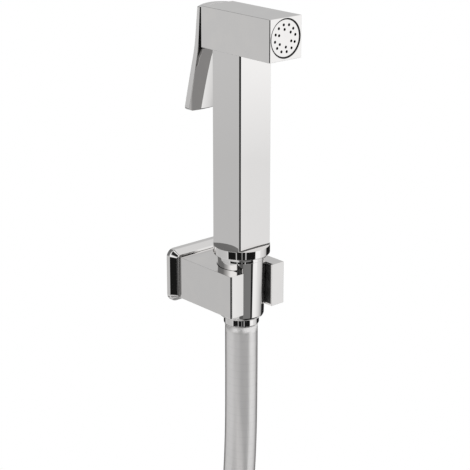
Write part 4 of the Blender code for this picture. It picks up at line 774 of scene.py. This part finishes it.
def cradle():
    """Fork block with a conical bore, an open slot and a recess for the liner."""
    half, slot_half = CRADLE_WIDTH / 2, SLOT_WIDTH / 2
    low_z, high_z = CRADLE_FOOT_Z - GAP, CRADLE_TOP_Z + GAP
    body = block("cradle_block", (-half, CRADLE_FRONT_Y, CRADLE_FOOT_Z), (half, CRADLE_BACK_Y, CRADLE_TOP_Z))
    foot = Vector((0, AXIS_Y, low_z))
    cut(body, rod("seat_bore", nut_radius(foot.z) + GAP, foot, UP, CRADLE_HEIGHT + 2 * GAP,
                  end_radius=nut_radius(high_z) + GAP, steps=160))
    cut(body, block("slot", (-slot_half, CRADLE_FRONT_Y - GAP, low_z), (slot_half, AXIS_Y, high_z)))
    recess_foot = CRADLE_FOOT_Z + LINER_FOOT
    recess_r = nut_radius(CRADLE_TOP_Z) + GAP + LINER_WALL + GAP
    cut(body, rod("recess", recess_r, (0, AXIS_Y, recess_foot), UP,
                  CRADLE_TOP_Z - CRADLE_LIP - recess_foot, steps=160))
    recess_half = slot_half + LINER_WALL + GAP
    cut(body, block("liner_slot", (-recess_half, CRADLE_FRONT_Y + LINER_FRONT_RIM, recess_foot),
                    (recess_half, AXIS_Y, high_z)))
    for side in (-1, 1):
        cut(body, rod("thread", SCREW_THREAD_R, (side * SCREW_X, CRADLE_BACK_Y + GAP, CRADLE_MIDDLE_Z),
                      FRONT, SCREW_THREAD_LENGTH, steps=48))
    settle(body)
    bm = bmesh.new()
    bm.from_mesh(body.data)
    for side, width in ((-1, CRADLE_EDGE), (1, FRONT_EDGE)):
        upright = [e for e in bm.edges
                   if all(abs(v.co.x - side * half) + abs(v.co.y - CRADLE_FRONT_Y) < 2e-6 for v in e.verts)]
        round_edges(bm, upright, width, 6)
    round_edges(bm, cradle_rim_edges(bm), CRADLE_RIM, 3, clamp=True)
    bm.to_mesh(body.data)
    bm.free()
    finish(body, CHROME, "set", "cradle", sharp=30)


def liner_outline(z):
    """C round the nut with two straight legs, seen from above."""
    inner, outer = nut_radius(z) + GAP, nut_radius(CRADLE_TOP_Z) + GAP + LINER_WALL
    near, far = SLOT_WIDTH / 2, SLOT_WIDTH / 2 + LINER_WALL
    outer_turn = 270 - degrees(asin(far / outer))
    inner_turn = 270 - degrees(asin(near / inner))
    centre, front = (0, AXIS_Y), LINER_FRONT_Y
    return [(-far, front), *arc(centre, outer, outer_turn, 180 - outer_turn, 120), (far, front),
            (near, front), *arc(centre, inner, 180 - inner_turn, inner_turn, 120), (-near, front)]


def leg_outline(side, z):
    """One leg's upper end, ended by the bore."""
    bore = nut_radius(z) + GAP + LEG_TRIM
    near, far = SLOT_WIDTH / 2 + LEG_TRIM, SLOT_WIDTH / 2 + LINER_WALL - LEG_TRIM
    front = LINER_FRONT_Y + LEG_TRIM
    points = [(side * near, front), (side * far, front)]
    for step in range(7):
        x = far + (near - far) * step / 6
        points.append((side * x, AXIS_Y - sqrt(bore**2 - x * x)))
    return points


def cradle_liner():
    """C-shaped liner: its round part ends under the cradle's lip, its two legs reach the top."""
    foot_z, top_z = CRADLE_FOOT_Z + LINER_FOOT + GAP, CRADLE_TOP_Z - GAP
    ledge = top_z - CRADLE_LIP
    low_z = ledge - GAP
    liner = lofted("liner", liner_outline(foot_z), liner_outline(ledge), foot_z, ledge)
    for side in (-1, 1):
        join(liner, lofted("leg", leg_outline(side, low_z), leg_outline(side, top_z), low_z, top_z))
        settle(liner)
    soften(liner, LINER_EDGE, 2, 45)
    finish(liner, PLASTIC, "set", "cradle_liner")


# Hose nut and sleeve


def hose_nut():
    """Long cone nut with a crisp top edge, a rounded foot and a stepped bore."""
    skirt, bore = FERRULE_R + GAP, SPIGOT_R + GAP
    lip = skirt + GAP
    outline = arc((NUT_TOP_R - NUT_EDGE, NUT_RIM_Z - NUT_EDGE), NUT_EDGE, 90, 0, 4)
    for step in range(13):
        turn = step / 12 * pi / 2
        outline.append((lip + (NUT_FOOT_R - lip) * cos(turn),
                        NUT_FOOT_Z + NUT_ROUND - NUT_ROUND * sin(turn)))
    neck_foot = NUT_SHOULDER_Z - NUT_SHOULDER
    outline += [(skirt, NUT_FOOT_Z), (skirt, neck_foot), (NECK_R, neck_foot), (NECK_R, NUT_SHOULDER_Z),
                (bore, NUT_SHOULDER_Z), (bore, NUT_TOP_Z - GAP), (bore + GAP, NUT_RIM_Z)]
    nut = turned("cone_nut", outline, (0, AXIS_Y, 0), steps=192)
    finish(nut, CHROME, "set", "hose_nut", sharp=40)


def hose_sleeve():
    top, foot = NUT_SHOULDER_Z - NUT_SHOULDER - GAP, NUT_FOOT_Z - FERRULE_SHOW
    edge = FERRULE_FOOT_EDGE
    outline = [(FERRULE_R - FERRULE_TOP_EDGE, top), (FERRULE_R, top - FERRULE_TOP_EDGE),
               *arc((FERRULE_R - edge, foot + edge), edge, 0, -90, 5),
               (FERRULE_BORE_R, foot), (FERRULE_BORE_R, top)]
    sleeve = turned("crimp_sleeve", outline, (0, AXIS_Y, 0))
    finish(sleeve, CHROME, "set", "hose_ferrule", sharp=40)


# Handset


def collar_outline():
    """Collar and spigot, from the axis out and down, and back up inside the spigot."""
    foot = -COLLAR_BAND - COLLAR_CHAMFER
    spigot = foot - GAP - SPIGOT_LENGTH
    soft = COLLAR_EDGE
    outline = [(0, COLLAR_R * CONE_SLOPE), (COLLAR_R - soft, soft * CONE_SLOPE),
               (COLLAR_R - soft / 4, -soft / 3), (COLLAR_R, -soft),
               (COLLAR_R, -COLLAR_BAND + soft), (COLLAR_R - soft / 2, -COLLAR_BAND - soft / 2)]
    for step in range(10):
        turn = radians(75 - 7.5 * step)
        outline.append((COLLAR_R - (COLLAR_R - COLLAR_FOOT_R) * cos(turn),
                        COLLAR_COVE * (sin(turn) - 1) - COLLAR_BAND))
    return [*outline, (COLLAR_FOOT_R, foot), (SPIGOT_R, foot),
            (SPIGOT_R, spigot + SPIGOT_EDGE), (SPIGOT_R - SPIGOT_EDGE, spigot),
            (SPIGOT_BORE_R, spigot), (SPIGOT_BORE_R, 0.0), (0, 0.0)]


def handset():
    """One casting: collar, tapered square grip and head, with its pockets."""
    half, head_half = GRIP_SIDE / 2, HEAD_WIDTH / 2
    body = turned("handset_shell", collar_outline(), (0, AXIS_Y, GRIP_FOOT_Z), closed=False, steps=160)
    grip = cast_block("grip", (-half, AXIS_Y - half, GRIP_FOOT_Z - COLLAR_BAND / 2),
                      (half, AXIS_Y + half, HEAD_FOOT_Z + HEAD_HEIGHT / 3), FRONT_EDGE, GRIP_EDGE)
    for vert in grip.data.vertices:
        width = 1 + (GRIP_TOP_SIDE / GRIP_SIDE - 1) * (vert.co.z - GRIP_FOOT_Z) / GRIP_LENGTH
        vert.co.x *= width
        vert.co.y = AXIS_Y + (vert.co.y - AXIS_Y) * width
    join(body, grip)
    join(body, cast_block("head", (-head_half, HEAD_FRONT_Y, HEAD_FOOT_Z),
                          (head_half, HEAD_BACK_Y, HEAD_TOP_Z), FRONT_EDGE / 2, HEAD_EDGE))
    face = (0, HEAD_FRONT_Y - GAP, NOZZLE_Z)
    cut(body, rod("seal_groove", SEAL_GROOVE_R, face, BACK, SEAL_GROOVE_DEPTH, steps=160))
    cut(body, rod("chamber", SPRAY_R + GAP, face, BACK, CHAMBER_DEPTH, steps=96))
    gland_start = (0, HEAD_BACK_Y - GLAND_BORE_DEPTH, VALVE_Z)
    cut(body, rod("gland_bore", GLAND_BORE_R, gland_start, BACK, GLAND_BORE_LENGTH))
    pocket = LUG_WIDTH / 2 + GAP
    cut(body, block("lever_pocket", (-pocket, PIVOT_Y - LUG_R - GAP, PIVOT_Z - LUG_R - POCKET_ROOM),
                    (pocket, HEAD_BACK_Y + GAP, PIVOT_Z + LUG_R + GAP), POCKET_EDGE))
    cut(body, rod("pin_hole", PIN_HOLE_R, (head_half + GAP, PIVOT_Y, PIVOT_Z), -RIGHT, PIN_HOLE_LENGTH))
    finish(body, SHELL_CHROME, "set", "handset_body", sharp=30)


def spray_face():
    """Nozzle disc: eased rim and two rings of holes."""
    front = HEAD_FRONT_Y + SPRAY_RECESS
    outline = [(0, 0), *arc((SPRAY_R - SPRAY_EDGE, -SPRAY_EDGE), SPRAY_EDGE, 90, 0, 4),
               (SPRAY_R, -SPRAY_SKIRT_DEPTH), (SPRAY_SKIRT_R, -SPRAY_SKIRT_DEPTH),
               (SPRAY_SKIRT_R, -SPRAY_WALL), (0, -SPRAY_WALL)]
    plate = turned("nozzle_disc", outline, (0, front, NOZZLE_Z), FRONT, closed=False, steps=160)
    for count, circle, first in SPRAY_HOLES:
        for number in range(count):
            turn = radians(first) + number * 2 * pi / count
            place = (circle * sin(turn), front - GAP, NOZZLE_Z + circle * cos(turn))
            cut(plate, rod("hole", SPRAY_HOLE_R, place, BACK, SPRAY_HOLE_LENGTH, steps=28))
    finish(plate, DISC_CHROME, "set", "spray_plate", sharp=40)


def spray_ring():
    """Black ring with rounded front edges in the groove round the disc."""
    inner, outer = SPRAY_R + SEAL_TRIM, SEAL_GROOVE_R - SEAL_TRIM
    outline = [*arc((outer - SEAL_EDGE, -SEAL_EDGE), SEAL_EDGE, 0, 90, 3),
               *arc((inner + SEAL_EDGE, -SEAL_EDGE), SEAL_EDGE, 90, 180, 3),
               (inner, -SEAL_DEPTH), (outer, -SEAL_DEPTH)]
    place = (0, HEAD_FRONT_Y + SPRAY_RECESS + SEAL_GAP, NOZZLE_Z)
    ring = turned("nozzle_ring", outline, place, FRONT, steps=160)
    finish(ring, RUBBER, "set", "spray_seal")


def lever_inner_y(z):
    """The lever's inner face: two straight runs with a soft bend at the head's foot."""
    y = HEAD_BACK_Y + LEVER_CLEARANCE + UPPER_SLOPE * (LEVER_TOP_Z - z)
    past = BEND_Z + BEND_REACH - z
    if past > 0:
        bend = min(past, 2 * BEND_REACH)
        steeper = LOWER_SLOPE - UPPER_SLOPE
        y += steeper * bend * bend / (4 * BEND_REACH)
        y += steeper * max(past - 2 * BEND_REACH, 0)
    return y


def lever_thickness(z):
    share = min((LEVER_TOP_Z - z) / (LEVER_TOP_Z - LEVER_FOOT_Z), 1)
    return LEVER_THICKNESS + LEVER_THICKER * sin(share * pi / 2)


def lever_plate():
    """Bent plate with a crowned back, a slightly hollow inner face and rounded foot corners."""
    half, columns, levels = HEAD_WIDTH / 2, 40, 90
    bm = bmesh.new()
    inner, outer = [], []
    for level in range(levels + 1):
        inner.append([])
        outer.append([])
        for column in range(columns + 1):
            u = -1 + 2 * column / columns
            top = LEVER_TOP_Z - LEVER_ARCH * u * u
            z = top + (LEVER_FOOT_Z - top) * (level / levels)
            reach, low = half, z - LEVER_FOOT_Z
            if low < LEVER_CORNER:
                reach += sqrt(max(LEVER_CORNER**2 - (LEVER_CORNER - low) ** 2, 0)) - LEVER_CORNER
            x = u * reach
            belly = LEVER_BELLY * min(max((BEND_Z - z) / (BEND_Z - LEVER_FOOT_Z), 0), 1)
            across = (x / half) ** 2
            inner_y = lever_inner_y(z)
            y = inner_y - LEVER_NEARER + LEVER_INNER_CROWN * across - belly * (1 - across)
            height = max(low / (LEVER_TOP_Z - LEVER_FOOT_Z), 0)
            crown = LEVER_CROWN * height * (1 - across)
            inner[-1].append(bm.verts.new((x, y, z)))
            outer[-1].append(bm.verts.new((x, inner_y + lever_thickness(z) + crown, z)))
    for rows, flip in ((inner, False), (outer, True)):
        for a, b in zip(rows, rows[1:]):
            for i in range(columns):
                corners = (a[i], a[i + 1], b[i + 1], b[i])
                bm.faces.new(corners[::-1] if flip else corners)
    for i in range(columns):
        bm.faces.new((inner[0][i + 1], inner[0][i], outer[0][i], outer[0][i + 1]))
        bm.faces.new((inner[-1][i], inner[-1][i + 1], outer[-1][i + 1], outer[-1][i]))
    for k in range(levels):
        bm.faces.new((inner[k][0], inner[k + 1][0], outer[k + 1][0], outer[k][0]))
        bm.faces.new((inner[k + 1][-1], inner[k][-1], outer[k][-1], outer[k + 1][-1]))
    bmesh.ops.recalc_face_normals(bm, faces=bm.faces)
    return new_object("trigger", bm)


def lever():
    """The trigger plate with soft edges, and its pivot lug with an eye."""
    plate = lever_plate()
    soften(plate, LEVER_EDGE, 3, 45)
    settle(plate)
    root_y = lever_inner_y(PIVOT_Z) + LEVER_LUG_SINK
    lug = [(root_y, PIVOT_Z - LUG_R), (root_y, PIVOT_Z + LUG_R),
           *arc((PIVOT_Y, PIVOT_Z), LUG_R, 90, 270, 32)]
    join(plate, prism("lug", [lug], -LUG_WIDTH / 2, LUG_WIDTH / 2, "X"))
    eye_start = (-LUG_WIDTH / 2 - GAP, PIVOT_Y, PIVOT_Z)
    cut(plate, rod("eye", PIN_R + SEAL_GAP, eye_start, RIGHT, LUG_WIDTH + 2 * GAP))
    finish(plate, LEVER_CHROME, "lever", "lever", sharp=38)


def return_spring():
    """Compression spring with closed ends, from SPRING_FRONT_Y to SPRING_REAR_Y."""
    closed = 2 * SPRING_WIRE_R + GAP
    open_turns = SPRING_TURNS - 2
    pitch = (SPRING_REAR_Y - SPRING_FRONT_Y - 2 * closed) / open_turns
    per_turn = 28
    points = []
    for number in range(SPRING_TURNS * per_turn + 1):
        turn = number / per_turn
        along = (closed * min(turn, 1) + pitch * min(max(turn - 1, 0), open_turns)
                 + closed * max(turn - SPRING_TURNS + 1, 0))
        x, z = SPRING_R * cos(2 * pi * turn), SPRING_R * sin(2 * pi * turn)
        points.append(Vector((x, SPRING_FRONT_Y + along, VALVE_Z + z)))
    spring, _ = tube("return_spring", points, SPRING_WIRE_R, sides=14)
    spring.data.materials.append(STEEL)
    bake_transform(spring)
    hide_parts("valve_spring")


# Studio: pale floor, soft lamps, and a white surround with dark and grey panels for the chrome

# Brightness of the surround in five bands, lowest first. Each stop gives degrees round the part from
# the camera, positive to its right, and the brightness there.
DOWN_BAND = ((-180, 0.29), (-160, 0.29), (-155, 0.60), (-131, 0.60), (-130, 0.01), (-117, 0.01),
             (-116, 0.9), (-60, 0.60), (0, 0.20), (20, 0.02), (105, 0.02), (106, 0.20), (121, 0.20),
             (123, 1.0), (150, 1.0), (153, 0.02), (158, 0.02), (162, 0.29), (180, 0.29))
LOW_BAND = ((-180, 0.29), (-160, 0.29), (-155, 0.02), (-131, 0.03), (-128, 0.62), (-97, 0.56),
            (-62, 0.60), (-14, 0.66), (-9, 0.10), (7, 0.10), (8, 0.19), (46, 0.20), (47.5, 0.01),
            (56, 0.01), (58, 1.0), (75, 0.95), (95, 0.74), (117, 0.40), (125, 0.01), (155, 0.02),
            (160, 0.29), (180, 0.29))
LEVEL_BAND = ((-180, 0.02), (-131, 0.03), (-128, 0.62), (-112, 0.56), (-97, 0.54), (-62, 0.58),
              (-56, 0.75), (-54, 0.01), (-23, 0.01), (-22, 0.55), (-19.5, 0.55), (-18.5, 0.01),
              (0, 0.01), (0.5, 0.36), (3.5, 0.36), (4, 0.01), (15, 0.01), (16, 0.6), (19, 0.6),
              (20, 0.01), (57, 0.01), (59, 1.0), (81, 1.0), (82, 0.83), (100, 0.74), (117, 0.5),
              (120, 0.01), (180, 0.02))
HIGH_BAND = ((-180, 0.02), (-131, 0.03), (-128, 0.66), (-97, 0.58), (-62, 0.58), (-56, 0.75),
             (-54, 0.01), (57, 0.01), (59, 1.0), (100, 1.0), (117, 0.6), (120, 0.01), (180, 0.02))
UPPER_BAND = ((-180, 0.54), (-155, 0.56), (-150, 0.16), (-97, 0.18), (-75, 0.45), (-52, 1.0),
              (-24, 1.0), (-20, 0.02), (10, 0.02), (14, 0.85), (60, 0.95), (100, 0.85), (150, 0.60),
              (180, 0.54))
# Each band with the degrees above the horizon between which it takes over from the one below
BANDS = ((DOWN_BAND, -84.0, -82.0), (LOW_BAND, -36.0, -34.0), (LEVEL_BAND, -22.9, -22.5),
         (HIGH_BAND, -16.0, -12.4), (UPPER_BAND, -6.0, 4.0))
WHITE = (1, 1, 1, 1)


def studio_camera():
    data = bpy.data.cameras.new("camera")
    data.sensor_width = 36
    data.lens = CAMERA_LENS
    data.clip_start = 0.01
    data.clip_end = 20
    camera = bpy.data.objects.new("camera", data)
    camera.location = CAMERA_PLACE
    camera.rotation_euler = (radians(90 - CAMERA_TILT), 0, radians(CAMERA_TURN))
    SCENE.collection.objects.link(camera)
    SCENE.camera = camera


def studio_world():
    """White to the camera, even light for matt surfaces, and the bands for mirroring ones."""
    world = bpy.data.worlds.new("studio")
    SCENE.world = world
    world.use_nodes = True
    n = Nodes(world.node_tree)
    way = n.add("ShaderNodeSeparateXYZ", {"Vector": n.add("ShaderNodeTexCoord").outputs["Generated"]})
    turn = n.both(n.math("ARCTAN2", way.outputs["Y"], way.outputs["X"]), 180 / pi)
    offset = n.math("WRAP", n.math("SUBTRACT", turn, 270 + CAMERA_TURN), 180.0, -180.0)
    place = n.math("DIVIDE", n.math("ADD", offset, 180.0), 360.0)
    rise = n.both(n.math("ARCSINE", way.outputs["Z"]), 180 / pi)
    whole = (0.01, 0.01, 0.01, 1)
    for band, first, last in BANDS:
        greys = n.ramp(place, [((angle + 180) / 360, grey) for angle, grey in band])
        whole = n.tint(n.spread(rise, first, last, 0.0, 1.0), whole, greys)
    rays = n.add("ShaderNodeLightPath")
    ground = n.tree.nodes["Background"]
    ground.inputs["Color"].default_value = WHITE
    ground.inputs["Strength"].default_value = 0.85
    seen = n.add("ShaderNodeBackground", {"Color": WHITE, "Strength": 1.0})
    mirror = n.add("ShaderNodeBackground", {"Color": whole, "Strength": 1.0})
    surface = ground
    for ray, other in (("Is Glossy Ray", mirror), ("Is Camera Ray", seen)):
        surface = n.add("ShaderNodeMixShader", {
            0: rays.outputs[ray], 1: surface.outputs[0], 2: other.outputs[0]})
    n.feed(n.tree.nodes["World Output"].inputs["Surface"], surface.outputs[0])


def studio_floor():
    bm = bmesh.new()
    bmesh.ops.create_circle(bm, cap_ends=True, segments=96, radius=0.85)
    bmesh.ops.translate(bm, vec=(0, -0.05, -0.75), verts=bm.verts)
    floor = new_object("floor", bm)
    material, inputs, n = new_material("floor_white", (0.86, 0.86, 0.86), 0.0, 0.9)
    rays = n.add("ShaderNodeLightPath")
    straight = n.either(rays.outputs["Is Camera Ray"], rays.outputs["Is Transmission Ray"])
    inputs["Emission Color"].default_value = WHITE
    n.feed(inputs["Emission Strength"], n.both(straight, 0.3))
    floor.data.materials.append(material)
    floor.visible_glossy = False


def lamp(name, place, size, power):
    """A round area lamp that points at the part."""
    data = bpy.data.lights.new(name, "AREA")
    data.shape = "DISK"
    data.size = size
    data.energy = power
    obj = bpy.data.objects.new(name, data)
    obj.location = place
    obj.rotation_euler = (-Vector(place)).to_track_quat("-Z", "Y").to_euler()
    obj.visible_glossy = False
    SCENE.collection.objects.link(obj)


# Build

for part in frame["record"]["subparts"]:
    node = NODES[part["node"]]
    node.data.materials.clear()
    node.data.materials.append(FINISHES[part["material_slot"]])

studio_camera()

path = hose_points()
hose, hose_length = tube("silver_hose", path, HOSE_R)
hose.data.materials.append(SKIN)
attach(hose, "set")
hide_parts("hose", "hose_coil")

return_spring()
wall_plate()
cradle()
cradle_liner()
hose_nut()
hose_sleeve()
handset()
spray_face()
spray_ring()
lever()
hose_tie()
inlet_sleeve()
swivel_nut()

studio_world()
studio_floor()
lamp("key", (-1.2, -1.6, 1.5), 1.4, 14)
lamp("fill", (1.8, -1.0, 0.8), 1.6, 8)
lamp("top", (0.0, 0.2, 2.0), 1.6, 8)

SCENE.view_settings.view_transform = "Standard"
